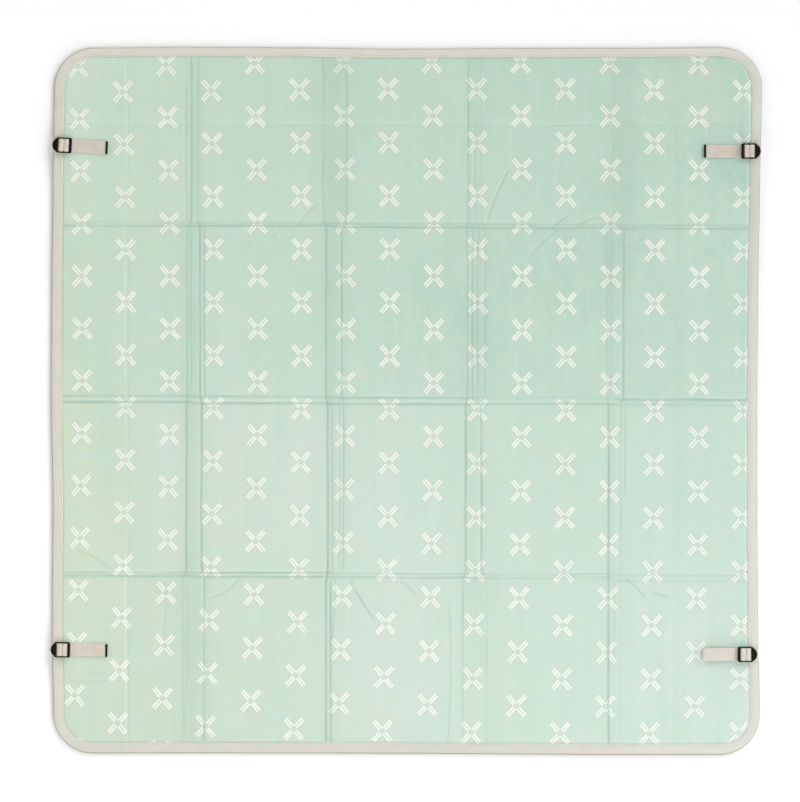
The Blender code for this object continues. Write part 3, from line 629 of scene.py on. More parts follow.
def slight_relief(x, y):
    """Height that the slight single creases add."""
    height = 0.0 * x
    for seed, (way, place, depth, rise) in enumerate(SLIGHT_CREASES):
        distance, other = (x - MM * place, y) if way == "upright" else (MM * place - y, x)
        distance = distance - SLIGHT_WOBBLE * wobble(other, seed + 20)
        uneven = 1.0 + CREASE_UNEVENNESS * wobble(other, seed + 30)
        height = height - MM * depth * uneven * bump(distance, SLIGHT_WIDTH)
        height = height + MM * rise * uneven * bump(distance + SLIGHT_RISE_PLACE, SLIGHT_RISE_WIDTH)
    return height


def wrinkle_distance(x, y, wrinkle):
    """Signed distance in metres from a wrinkle's bowed line, and the share of the way along it."""
    x0, y0, x1, y1, bow = [MM * value for value in wrinkle[:5]]
    length = math.hypot(x1 - x0, y1 - y0)
    run, rise = (x1 - x0) / length, (y1 - y0) / length
    share = ((x - x0) * run + (y - y0) * rise) / length
    inside = np.clip(share, 0.0, 1.0)
    distance = (y - y0) * run - (x - x0) * rise - 4 * bow * inside * (1 - inside)
    return distance, share


def wrinkle_relief(x, y):
    """Height that the thin wrinkles add."""
    height = 0.0 * x
    for seed, wrinkle in enumerate(WRINKLES):
        distance, share = wrinkle_distance(x, y, wrinkle)
        distance = distance + WRINKLE_WOBBLE * wobble(share * 2.0, seed)
        depth, width = MM * wrinkle[5], MM * wrinkle[6]
        ends = ramp(share, -WRINKLE_FADE, WRINKLE_FADE) * ramp(1 - share, -WRINKLE_FADE, WRINKLE_FADE)
        rise = WRINKLE_RISE_SHARE * bump(distance - WRINKLE_RISE_PLACE, WRINKLE_RISE_WIDTH)
        height = height + depth * ends * (rise - bump(distance, width))
    return height


def panel_relief(x, y):
    """The slow unevenness of the panels, which never lie quite flat."""
    waves = [share * np.sin(right * x + up * y + start) for right, up, start, share in PANEL_WAVES]
    return PANEL_RISE * sum(waves)


def strap_shade(x, y):
    """1 on the ground that a strap lies on, and 0 away from it."""
    inset = HALF_SIDE - np.abs(x)
    beside = np.abs(np.abs(y) - STRAP_PLACE)
    return ramp(inset, *PRESSED_LENGTH) * ramp(beside, *PRESSED_HALF_WIDTH)


def field_relief(x, y, even_x, even_y):
    """All relief of the padded field and its painted shading, at true places and grid places."""
    slight, wrinkles = slight_relief(x, y), wrinkle_relief(x, y)
    height = slight + wrinkles + panel_relief(x, y)
    painted_shading = WRINKLE_SHADE * np.maximum(-wrinkles, 0.0) - WRINKLE_HIGHLIGHT * np.maximum(wrinkles, 0.0)
    painted_shading = (painted_shading - SLIGHT_SHADE * slight) / MM
    for seed, fold in enumerate(UPRIGHT_FOLDS):
        more, fold_shading = fold_relief(fold, x, even_y, ROW_BORDERS, seed, UPRIGHT_HIGHLIGHT, UPRIGHT_SHADE_REACH)
        height, painted_shading = height + more, painted_shading + fold_shading
    for seed, fold in enumerate(CROSS_FOLDS):
        more, fold_shading = fold_relief(fold, y, -even_x, COLUMN_BORDERS, seed + 40, CROSS_HIGHLIGHT, CROSS_SHADE_REACH)
        height, painted_shading = height + more, painted_shading + fold_shading
    clear = 1.0 - strap_shade(x, y)
    return np.maximum(height, -DEEPEST_SHARE * FIELD_THICKNESS) * clear, painted_shading * clear


def steps_between(start, end, coarse):
    """Grid lines from start up to end, fine near both and coarser in between."""
    half = (end - start) / 2
    offsets = [0.0]
    while offsets[-1] < half:
        step = FINE_STEP + STEP_GROWTH * max(0.0, offsets[-1] - FINE_REACH)
        offsets.append(offsets[-1] + min(step, COARSE_STEP) * coarse)
    stretch = half / offsets[-1]
    near = [start + offset * stretch for offset in offsets]
    return near + [end - offset * stretch for offset in offsets[-2:0:-1]]


def graded_lines(folds, way, coarse):
    """Grid lines along one axis, fine at every crease that crosses it and at the binding's edge."""
    edge = HALF_SIDE - TONGUE_INSET
    shoulder = HALF_SIDE - TONGUE_END - SHOULDER / 2
    anchors = shift_keys(folds, shoulder) + [-edge, edge]
    anchors = sorted(anchors + [MM * row[1] for row in SLIGHT_CREASES if row[0] == way])
    lines = []
    for start, end in zip(anchors, anchors[1:]):
        lines += steps_between(start, end, coarse)
    return np.array(lines + [anchors[-1]])


def in_scene(name, data):
    """A new object of the scene with the given data."""
    thing = bpy.data.objects.new(name, data)
    bpy.context.scene.collection.objects.link(thing)
    return thing


def new_piece(name, points, faces, material):
    """A smooth mesh object in the scene that rides on the mat's body."""
    mesh = bpy.data.meshes.new(name)
    mesh.from_pydata(np.asarray(points, float).tolist(), [], faces)
    mesh.polygons.foreach_set("use_smooth", [True] * len(mesh.polygons))
    mesh.materials.append(material)
    piece = in_scene(name, mesh)
    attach(piece, BODY)
    return piece


def closed_piece(name, points, faces, material):
    """A piece whose closed mesh has its faces turned outward."""
    piece = new_piece(name, points, faces, material)
    build = bmesh.new()
    build.from_mesh(piece.data)
    bmesh.ops.recalc_face_normals(build, faces=build.faces)
    build.to_mesh(piece.data)
    build.free()
    return piece


def tensor_grid(columns, rows):
    """The points and upward faces of a grid of lines."""
    x, y = np.meshgrid(columns, rows, indexing="ij")
    index = np.arange(x.size).reshape(x.shape)
    corners = (index[:-1, :-1], index[1:, :-1], index[1:, 1:], index[:-1, 1:])
    faces = np.stack(corners, -1).reshape(-1, 4)
    return np.stack([x.ravel(), y.ravel(), 0.0 * x.ravel()], -1), faces.tolist()


def refine_wrinkles(points, faces):
    """Split the grid's edges near the thin wrinkles until they are short."""
    mesh = bpy.data.meshes.new("grid")
    mesh.from_pydata(points.tolist(), [], faces)
    build = bmesh.new()
    build.from_mesh(mesh)
    for _ in range(WRINKLE_ROUNDS):
        place = np.array([vert.co[:] for vert in build.verts])
        true_x, true_y = flat_place(place[:, 0], place[:, 1])
        near = np.full(len(place), np.inf)
        for wrinkle in WRINKLES:
            distance, share = wrinkle_distance(true_x, true_y, wrinkle)
            inside = (share > -WRINKLE_MARGIN) & (share < 1 + WRINKLE_MARGIN)
            near = np.minimum(near, np.where(inside, np.abs(distance), np.inf))
        build.verts.ensure_lookup_table()
        marked = []
        for edge in build.edges:
            first, second = edge.verts
            length = (first.co - second.co).length
            if length > WRINKLE_EDGE and min(near[first.index], near[second.index]) < WRINKLE_REACH:
                marked.append(edge)
        bmesh.ops.subdivide_edges(build, edges=marked, cuts=1, use_grid_fill=True)
        build.verts.index_update()
    place = np.array([vert.co[:] for vert in build.verts])
    cells = [[vert.index for vert in face.verts] for face in build.faces]
    build.free()
    bpy.data.meshes.remove(mesh)
    return place, cells


def planar_map(piece):
    """A flat map of the whole sheet, named OFBake."""
    count = len(piece.data.loops)
    corner = np.empty(count, int)
    piece.data.loops.foreach_get("vertex_index", corner)
    place = np.array([vert.co[:] for vert in piece.data.vertices])
    reach = HALF_SIDE + 10 * MM
    flat = (place[corner, :2] + reach) / (2 * reach)
    layer = piece.data.uv_layers.new(name="OFBake")
    layer.uv.foreach_set("vector", flat.ravel().astype(np.float32))


def print_lattice(x, y):
    """Columns and half rows of the print at true places, with the drift that the cloth has given it."""
    right, down = (x - PRINT_MIDDLE[0]) / PRINT_HALF_WIDTH, (PRINT_MIDDLE[1] - y) / PRINT_HALF_HEIGHT
    drift_x, drift_y = [MM * sum(drift * right ** i * down ** j for i, j, drift in terms)
                        for terms in (PRINT_DRIFT_RIGHT, PRINT_DRIFT_DOWN)]
    column = PRINT_COLUMNS * (x - drift_x - PRINT_MIDDLE[0]) / PRINT_HALF_WIDTH
    half_row = PRINT_HALF_ROWS * (PRINT_MIDDLE[1] + drift_y - y) / PRINT_HALF_HEIGHT
    return column + PRINT_COLUMNS, half_row + PRINT_HALF_ROWS


def point_values(piece, name, kind, values):
    """Store one value a point on a piece, for its material."""
    layer = piece.data.attributes.new(name, kind, "POINT")
    part = "vector" if kind == "FLOAT_VECTOR" else "value"
    layer.data.foreach_set(part, values.ravel().astype(np.float32))


def soft_tints(x, y, even_x, even_y):
    """Shares of the olive, deep and pale tints at points of the face."""
    # The deep tint's share starts from the panels' painted shade
    shade = by_panel(ROW_SHADES, even_y, ROW_BORDERS) + by_panel(COLUMN_SHADES, -even_x, COLUMN_BORDERS)
    shares = [0.0 * x, shade, 0.0 * x]
    for middle_x, middle_y, half_x, half_y, *tints in SOFT_TINTS:
        reach = np.hypot((x - MM * middle_x) / (MM * half_x), (y - MM * middle_y) / (MM * half_y))
        for k, tint in enumerate(tints):
            shares[k] = shares[k] + tint * ramp(reach, 1.3, 0.3)
    return np.clip(np.stack(shares, -1), 0.0, 1.0)


def sheet_grid(coarseness):
    """The points and faces of the sheet's even grid."""
    columns = graded_lines(UPRIGHT_FOLDS, "upright", coarseness)
    return tensor_grid(columns, graded_lines(CROSS_FOLDS, "across", coarseness))


def sheet_shape(place):
    """A sheet's true places, insets, rise from its thin edge, relief and painted shading, for grid points.
    """
    even_x, even_y = place[:, 0], place[:, 1]
    x, y = flat_place(even_x, even_y)
    inset = outline_place(even_x, even_y)[4]
    rise = ramp(inset, TONGUE_END, TONGUE_END + SHOULDER)
    return x, y, inset, rise, *field_relief(x, y, even_x, even_y)


def side_light(x, inset):
    """How much painted light brightens the cloth beside the tape."""
    lightening = np.where(x < 0.0, SIDE_LIGHT["left"], SIDE_LIGHT["right"])
    lightening = lightening * ramp(np.abs(x), SIDE_LIGHT_FROM, SIDE_LIGHT_FULL)
    return lightening * bump(inset - SIDE_LIGHT_PLACE, SIDE_LIGHT_WIDTH)


def make_face(material):
    """The printed face: one sheet over the padding, with its creases and wrinkles."""
    place, cells = refine_wrinkles(*sheet_grid(1.0))
    even_x, even_y = place[:, 0], place[:, 1]
    x, y, inset, rise, relief, painted_shading = sheet_shape(place)
    height = TONGUE_TOP + rise * (FIELD_THICKNESS - TONGUE_TOP + relief) + lift_at(even_x, even_y)
    # Painted shading fades out at the thin edge, and the painted light beside the tape goes in below zero
    painted_shading = painted_shading * rise - side_light(x, inset)
    piece = new_piece("mat_face", np.stack([x, y, height], -1), cells, material)
    column, half_row = print_lattice(x, y)
    point_values(piece, "print_place", "FLOAT_VECTOR", np.stack([column, half_row, 0 * column], -1))
    point_values(piece, "painted_shading", "FLOAT", np.clip(painted_shading, -1.0, 2.0))
    point_values(piece, "tints", "FLOAT_VECTOR", soft_tints(x, y, even_x, even_y))
    planar_map(piece)
    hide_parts("mat")


def make_back(material):
    """The plain back cloth, flat on the floor, with the sheet's thin edge inside the binding."""
    place, cells = sheet_grid(BACK_COARSENESS)
    x, y, _, drop, relief, _ = sheet_shape(place)
    hollow = BACK_HOLLOW * np.maximum(-relief, 0.0)
    height = TONGUE_BOTTOM * (1 - drop) + drop * hollow + lift_at(place[:, 0], place[:, 1])
    cells = [cell[::-1] for cell in cells]
    piece = new_piece("mat_back", np.stack([x, y, height], -1), cells, material)
    planar_map(piece)
    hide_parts("mat")


def outline_stations(step):
    """Base points and outward directions round the outline, and the way along it, in metres."""
    inner = STRAIGHT_HALF
    base, outward = [], []
    side_count = round(2 * inner / step)
    corner_count = round(math.pi / 2 * CORNER_RADIUS / step)
    for quarter in range(4):
        angle = quarter * math.pi / 2
        out = np.array([math.cos(angle), math.sin(angle)])
        run = np.array([-out[1], out[0]])
        for k in range(side_count):
            base.append(out * HALF_SIDE + run * (-inner + 2 * inner * k / side_count))
            outward.append(out)
        for k in range(corner_count):
            turn = math.pi / 2 * k / corner_count
            direction = out * math.cos(turn) + run * math.sin(turn)
            base.append((out + run) * inner + direction * CORNER_RADIUS)
            outward.append(direction)
    base, outward = np.array(base), np.array(outward)
    steps = np.linalg.norm(np.diff(base, axis=0), axis=1)
    return base, outward, np.concatenate([[0.0], np.cumsum(steps)])


def waver(way, pitch, sway, rate):
    """A wave of the given pitch along the tape, which sways back and forth at a slow rate."""
    return np.sin(way * 2 * math.pi / pitch + sway * np.sin(way * rate))


def binding_crown(share, width, way):
    """Extra height of the tape's top at a share of its width: its crown, stitched dent and puckers."""
    stitch = 1.0 - STITCH_INSET / width
    crown = TAPE_CROWN * np.sin(math.pi * np.clip(share / stitch, 0.0, 1.0)) ** 0.8
    dent = DENT_DEPTH + DENT_WAVER * waver(way, DENT_PITCH, 2.0, 9.0)
    pucker = PUCKER_RISE * waver(way, PUCKER_PITCH, 1.5, 17.0)
    distance = (share - stitch) * width
    return crown - dent * bump(distance, DENT_WIDTH) + pucker * bump(distance, PUCKER_WIDTH)


def tape_section(width, way):
    """The folded tape's closed section as rows of (inset, height), for each station round the edge."""
    shares = np.array(TOP_SHARES)
    arc = np.radians(np.linspace(-90, 90, 9))
    within = FOLD_RADIUS - TAPE_THICKNESS
    ceiling = BINDING_HEIGHT - TAPE_THICKNESS
    rows = []
    for w, s in zip(width, way):
        end = w + EDGE_WAVER * waver(s, EDGE_PITCH, 2.0, 5.0)
        section = [(end - 0.1 * MM, 0.35 * MM), (end - 0.5 * MM, 0.0), (0.6 * w, 0.0), (0.3 * w, 0.0)]
        section += [(FOLD_RADIUS * (1 - math.cos(a)), FOLD_RADIUS * (1 + math.sin(a))) for a in arc]
        section += list(zip(shares * end, BINDING_HEIGHT + binding_crown(shares, w, s)))
        section += [(end - 0.35 * MM, BINDING_HEIGHT - 0.08 * MM), (end, BINDING_HEIGHT - 0.4 * MM)]
        section += [(end - 0.2 * MM, ceiling), (0.5 * w, ceiling)]
        for a in arc[::-2]:
            section.append((FOLD_RADIUS - within * math.cos(a), FOLD_RADIUS + within * math.sin(a)))
        section += [(0.5 * w, TAPE_THICKNESS), (end - 0.3 * MM, TAPE_THICKNESS)]
        rows.append(section)
    return np.array(rows)


def band_place(base, outward, inset):
    """Places at insets from base points of the outline, with the outline's drift, and their lift."""
    x = base[..., 0] - outward[..., 0] * inset
    y = base[..., 1] - outward[..., 1] * inset
    true_x, true_y = drifted(x, y)
    return true_x, true_y, lift_at(x, y)


def skin(sections, closed):
    """The points and faces of a skin through sections, closed into a ring or capped at both ends."""
    count, size = sections.shape[:2]
    index = np.arange(count * size).reshape(count, size)
    here, there = (index, np.roll(index, -1, axis=0)) if closed else (index[:-1], index[1:])
    quads = np.stack([here, np.roll(here, -1, axis=1), np.roll(there, -1, axis=1), there], -1)
    faces = quads.reshape(-1, 4).tolist()
    if not closed:
        faces += [index[0][::-1].tolist(), index[-1].tolist()]
    return sections.reshape(-1, 3), faces


def joined(skins):
    """The points and faces of several skins as those of one mesh."""
    points, faces, count = [], [], 0
    for more, cells in skins:
        points.append(more)
        faces += [[index + count for index in cell] for cell in cells]
        count += len(more)
    return np.concatenate(points), faces


def make_binding(material):
    """The edge tape, folded round the whole edge and sewn down."""
    base, outward, way = outline_stations(5.0 * MM)
    width = tape_width(outward[:, 0], outward[:, 1])
    section = tape_section(width, way)
    x, y, lift = band_place(base[:, None, :], outward[:, None, :], section[..., 0])
    points, faces = skin(np.stack([x, y, section[..., 1] + lift], -1), True)
    piece = closed_piece("binding_tape", points, faces, material)
    place = np.stack([np.repeat(way, section.shape[1]), section[..., 0].ravel(), 0 * points[:, 0]], -1)
    point_values(piece, "tape_place", "FLOAT_VECTOR", place)
    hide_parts("binding")


def thread_stitches(name, centre, run, side, up, material):
    """A row of short stitches of thread, each a bowed bead whose ends dip into the cloth."""
    turns = np.arange(THREAD_SIDES) * 2 * math.pi / THREAD_SIDES
    skins = []
    for c, r, s, u in zip(centre, run, side, up):
        circle = THREAD_RADIUS * (np.outer(np.cos(turns), s) + np.outer(np.sin(turns), u))
        rings = [c + r * reach * STITCH_HALF_LENGTH + u * rise * MM + size * circle
                 for reach, size, rise in STITCH_RINGS]
        skins.append(skin(np.array(rings), False))
    points, faces = joined(skins)
    closed_piece(name, points, faces, material)


def make_stitching(material):
    """The stitch rows that hold the binding, on its top and under it."""
    base, outward, way = outline_stations(STITCH_PITCH)
    width = tape_width(outward[:, 0], outward[:, 1])
    inset = width - STITCH_INSET
    x, y, lift = band_place(base, outward, inset)
    run = np.stack([np.roll(x, -1) - np.roll(x, 1), np.roll(y, -1) - np.roll(y, 1), 0 * x], -1)
    run /= np.linalg.norm(run, axis=1)[:, None]
    up = np.tile([0.0, 0.0, 1.0], (len(x), 1))
    side = np.cross(up, run)
    crown = binding_crown(1.0 - STITCH_INSET / width, width, way)
    top = np.stack([x, y, BINDING_HEIGHT + crown + lift + TOP_THREAD_RISE], -1)
    thread_stitches("binding_stitches_top", top, run, side, up, material)
    clear = lift < NO_LIFT
    low = np.stack([x, y, lift + LOW_THREAD_RISE], -1)[clear]
    thread_stitches("binding_stitches_under", low, run[clear], side[clear], up[clear], material)


def smooth_path(points, step):
    """Points every step along a smooth curve through the given points."""
    p = np.asarray(points, float)
    p = np.concatenate([[2 * p[0] - p[1]], p, [2 * p[-1] - p[-2]]])
    drawn = []
    for a, b, c, d in zip(p, p[1:], p[2:], p[3:]):
        for t in np.linspace(0.0, 1.0, 24, endpoint=False):
            drawn.append(0.5 * (2 * b + (c - a) * t + (2 * a - 5 * b + 4 * c - d) * t ** 2
                                + (3 * b - a - 3 * c + d) * t ** 3))
    drawn = np.array(drawn + [p[-2]])
    way = np.concatenate([[0.0], np.cumsum(np.linalg.norm(np.diff(drawn, axis=0), axis=1))])
    places = np.linspace(0.0, way[-1], max(2, round(way[-1] / step)) + 1)
    return np.stack([np.interp(places, way, drawn[:, k]) for k in (0, 1)], -1), places


def strap_path(frame_start, free_end, ending):
    """The webbing's middle line as (inward, up), from its sewn end to its free end."""
    under = WEB_THICKNESS / 2
    path = [(SEWN_LENGTH, under), (SEWN_LENGTH / 2, under)]
    for step in range(7):
        angle = math.radians(-90 - 30 * step)
        out = FOLD_RADIUS + WRAP_RADIUS * math.cos(angle)
        path.append((out, WRAP_MIDDLE + WRAP_RADIUS * math.sin(angle)))
    middle = THREADING[-1][0]
    mirrored = [(2 * middle - inward, up) for inward, up in THREADING[-2::-1]]
    for inward, up in list(THREADING) + mirrored:
        path.append((frame_start + MM * inward, DECK + MM * up))
    path.append((frame_start + FRAME_LENGTH, DECK))
    rest = GAP + WEB_THICKNESS / 2
    if ending == "flat":
        for inward in TAIL_PLACES:
            path.append((inward, FIELD_THICKNESS + lift_at(HALF_SIDE - inward, STRAP_PLACE) + rest))
        path.append((free_end, FIELD_THICKNESS + GAP + TIP_THICKNESS / 2))
        return path
    low = FIELD_THICKNESS + GAP + TIP_THICKNESS / 2
    high = FIELD_THICKNESS + GAP + TIP_THICKNESS + rest
    radius = (high - low) / 2
    turn = free_end - radius - WEB_THICKNESS / 2
    path += [(RAISED_TAIL_PLACES[0], high - 0.3 * MM), (RAISED_TAIL_PLACES[1], high)]
    for step in range(7):
        angle = math.radians(90 - 30 * step)
        path.append((turn + radius * math.cos(angle), low + radius + radius * math.sin(angle)))
    path.append((turn - TURNED_UNDER_LENGTH, low))
    return path


def turned(inward, across, turn):
    """Turn points in the plane of the mat about a place just inside the mat's edge."""
    offset = inward - LEAN_FROM
    new_inward = LEAN_FROM + offset * np.cos(turn) - across * np.sin(turn)
    return new_inward, offset * np.sin(turn) + across * np.cos(turn)


def leaned(inward, across, lean):
    """A strap's points with its lean, which comes in just inside the mat's edge."""
    return turned(inward, across, lean * ramp(inward, LEAN_FROM, LEAN_FULL))


def strap_base(side, height):
    """Where a strap crosses the mat's edge, and the turn about Z that faces it inward."""
    sign = 1.0 if side == "right" else -1.0
    end = math.copysign(1.0, height)
    places = np.array([STRAP_PLACE - LIFT_FLAT, STRAP_PLACE + LIFT_FLAT])
    x, y = drifted(np.full(2, sign * HALF_SIDE), end * places)
    share = (height - y[0]) / (y[1] - y[0])
    facing = math.pi if side == "right" else 0.0
    slope = math.atan((x[1] - x[0]) / (y[1] - y[0]))
    return (float(x[0] + (x[1] - x[0]) * share), height, 0.0), facing - slope


def webbing_outline():
    """Half sizes of the webbing's rounded section as (across, out), with a slightly thicker selvedge."""
    half, thick = WEB_WIDTH / 2, WEB_THICKNESS / 2
    top = [(-half, 0.0), (-half + 0.12 * MM, 0.62 * thick), (-half + 0.5 * MM, 1.0 * thick),
           (-half + 1.6 * MM, 1.0 * thick), (-half + 2.2 * MM, 0.86 * thick), (-half / 2, 0.9 * thick),
           (0.0, 0.92 * thick)]
    top += [(-across, out) for across, out in top[-2::-1]]
    return np.array(top + [(across, -out) for across, out in top[-2:0:-1]])


def place_on_strap(piece, name):
    """Set a piece that is modelled in a strap's own frame on the mat's edge."""
    side, height = STRAPS[name][:2]
    piece.location, piece.rotation_euler.z = strap_base(side, MM * height)
    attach(piece, BODY)


def make_strap(name, material):
    """One length of webbing, from its sewn end under the mat to its tip."""
    _, _, frame_start, free_end, lean, ending, paler = STRAPS[name]
    path, way = smooth_path(strap_path(MM * frame_start, MM * free_end, ending), STRAP_STEP)
    ahead = np.gradient(path, axis=0)
    ahead /= np.linalg.norm(ahead, axis=1)[:, None]
    outline = webbing_outline()
    middle = MM * (frame_start + THREADING[-1][0])
    on_top = path[:, 1] > WRAP_MIDDLE
    pinch = 1.0 - PINCH_SHARE * bump(path[:, 0] - middle, PINCH_WIDTH) * on_top
    across = outline[None, :, 0] * pinch[:, None]
    inward = path[:, None, 0] - ahead[:, None, 1] * outline[None, :, 1]
    up = path[:, None, 1] + ahead[:, None, 0] * outline[None, :, 1]
    leaned_inward, leaned_across = leaned(inward, across, math.radians(lean))
    leans = on_top[:, None] & (inward > LEAN_FROM)
    x, y = np.where(leans, leaned_inward, inward), np.where(leans, leaned_across, across)
    points, faces = skin(np.stack([x, y, up], -1), False)
    piece = closed_piece("webbing_" + name, points, faces, material)
    # Painted shade: the webbing is not made paler near its free end
    paler = paler * ramp(inward.ravel(), MM * free_end, MM * free_end - SHADED_END)
    place = np.stack([np.repeat(way, len(outline)), across.ravel(), paler], -1)
    point_values(piece, "web_place", "FLOAT_VECTOR", place)
    place_on_strap(piece, name)
    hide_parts("strap_" + name)


def tip_outline(opening):
    """A tip's section as (inward, up) from its closed end. Its slot opens towards opening."""
    half, slot = TIP_THICKNESS / 2, WEB_THICKNESS / 2 + 0.1 * MM
    arc = np.radians(np.linspace(-90, 90, 9))
    nose = [(TIP_NOSE * (1 - math.cos(a)), half * math.sin(a)) for a in arc]
    groove = 0.86 * half
    top = [(2.2 * MM, half), (3.0 * MM, groove), (3.6 * MM, groove), (TIP_LENGTH - 0.3 * MM, half),
           (TIP_LENGTH, half - 0.3 * MM), (TIP_LENGTH, slot), (TIP_LENGTH - TIP_SLOT_DEPTH, slot)]
    points = nose + top + [(inward, -up) for inward, up in top[::-1]]
    return np.array([(opening * inward, up) for inward, up in points])


def make_tip(name, material):
    """The hard tip on one strap's free end, with rounded sides and a shallow groove."""
    _, _, frame_start, free_end, lean, ending, _ = STRAPS[name]
    end_inward, end_up = strap_path(MM * frame_start, MM * free_end, ending)[-1]
    opening = -1.0 if ending == "flat" else 1.0
    closed_end = end_inward - opening * (TIP_LENGTH - TIP_SLOT_DEPTH + GAP)
    outline = tip_outline(opening)
    middle = outline.mean(axis=0)
    sections = []
    for share, size in TIP_RINGS:
        inward, up = (middle + (outline - middle) * size).T
        across = np.full(len(inward), share * TIP_WIDTH / 2)
        place = leaned(closed_end + inward, across, math.radians(lean))
        sections.append(np.stack([*place, end_up + up], -1))
    points, faces = skin(np.array(sections), False)
    piece = closed_piece("end_tip_" + name, points, faces, material)
    place_on_strap(piece, name)
    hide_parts("tip_" + name)


def in_rounded_box(x, y, half_x, half_y, corner):
    """Whether points lie in a box with rounded corners about the origin."""
    over_x = np.maximum(np.abs(x) - (half_x - corner), 0.0)
    over_y = np.maximum(np.abs(y) - (half_y - corner), 0.0)
    return np.hypot(over_x, over_y) < corner


def in_frame(inward, across):
    """Whether points lie within the buckle's outer outline, its half-round tab included."""
    radius = (TAB_HALF_WIDTH ** 2 + TAB_LENGTH ** 2) / (2 * TAB_LENGTH)
    tab = (np.hypot(inward - radius + TAB_LENGTH, across) < radius) & (inward < TAB_ROOT)
    half_x, half_y = FRAME_LENGTH / 2, FRAME_WIDTH / 2
    return tab | in_rounded_box(inward - half_x, across, half_x, half_y, FRAME_CORNER)


def in_window(inward, across):
    """Whether points lie within the buckle's window, which has a small tooth in each long side."""
    middle = (WINDOW_FROM + WINDOW_TO) / 2
    tooth = TOOTH_HEIGHT * bump(inward - middle, TOOTH_WIDTH)
    half_x, half_y = (WINDOW_TO - WINDOW_FROM) / 2, WINDOW_WIDTH / 2
    return in_rounded_box(inward - middle, np.abs(across) + tooth, half_x, half_y, WINDOW_CORNER)


def ray_reach(inside, centre, angle):
    """How far a shape reaches from its centre along each angle."""
    low, high = np.zeros(len(angle)), np.full(len(angle), FARTHEST_REACH)
    for _ in range(HALVINGS):
        middle = (low + high) / 2
        within = inside(centre + middle * np.cos(angle), middle * np.sin(angle))
        low, high = np.where(within, middle, low), np.where(within, high, middle)
    return low


def frame_sections():
    """Sections of the moulded frame on rays about its window, each from the window to the outside."""
    angle = np.linspace(0.0, 2 * math.pi, FRAME_RAYS, endpoint=False)
    centre = (WINDOW_FROM + WINDOW_TO) / 2
    inner = ray_reach(in_window, centre, angle)
    outer = ray_reach(in_frame, centre, angle)
    arc = np.radians((0.0, 30.0, 60.0, 90.0))
    sections = []
    for a, near, far in zip(angle, inner, outer):
        length = far - near
        bevel = min(BEVEL, 0.3 * length)
        top = [(bevel * (1 - math.cos(t)), bevel * (math.sin(t) - 1)) for t in arc]
        top += [(share * length, 0.0) for share in np.linspace(0.3, 0.7, 13)]
        top += [(length - bevel * (1 - math.sin(t)), bevel * (math.cos(t) - 1)) for t in arc]
        section = []
        for out, drop in top:
            inward, across = centre + (near + out) * math.cos(a), (near + out) * math.sin(a)
            section.append((inward, across, frame_top(inward, across) + drop))
        for share in (1.0, 0.75, 0.25, 0.0):
            out = near + share * length
            section.append((centre + out * math.cos(a), out * math.sin(a), frame_low(out * math.sin(a))))
        sections.append(section)
    return np.array(sections)


def frame_low(across):
    """Underside of the frame: low at its rails, and high over the webbing."""
    return BAR_LOW + (FRAME_LOW - BAR_LOW) * float(ramp(abs(across), 12.8 * MM, 13.1 * MM))


def frame_top(inward, across):
    """Top of the frame: its tab slopes down and has ribs for the thumb."""
    slope = TAB_DROP * float(ramp(inward, 0.0, -TAB_LENGTH))
    on_tab = float(ramp(inward, 0.0, -1.0 * MM) * ramp(abs(across), 9.5 * MM, 8.5 * MM))
    rib = RIB_DEPTH * on_tab * (0.5 + 0.5 * math.cos(2 * math.pi * inward / RIB_PITCH))
    return FRAME_HIGH - slope - rib


def rung_sections(place):
    """A round rung from rail to rail that widens into the rails."""
    sections = []
    turns = np.arange(16) * math.pi / 8
    for share, size in RUNG_RINGS:
        across = np.full(len(turns), share * (WINDOW_WIDTH / 2 + 1 * MM))
        inward, up = size * RUNG_RADIUS * np.cos(turns), size * RUNG_RADIUS * np.sin(turns)
        sections.append(np.stack([place + inward, across, DECK + RUNG_RISE + up], -1))
    return np.array(sections)


def make_buckle(name, material):
    """One ladder-lock buckle: a moulded frame with a ribbed lift tab, and two rungs across it."""
    _, _, frame_start, _, lean, _, _ = STRAPS[name]
    rungs = [skin(rung_sections(place), False) for place in RUNG_PLACES]
    points, faces = joined([skin(frame_sections(), True)] + rungs)
    x, y = turned(points[:, 0] + MM * frame_start, points[:, 1], math.radians(lean))
    points = np.stack([x, y, points[:, 2]], -1)
    piece = closed_piece("ladder_lock_" + name, points, faces, material)
    place_on_strap(piece, name)
    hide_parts("buckle_" + name)


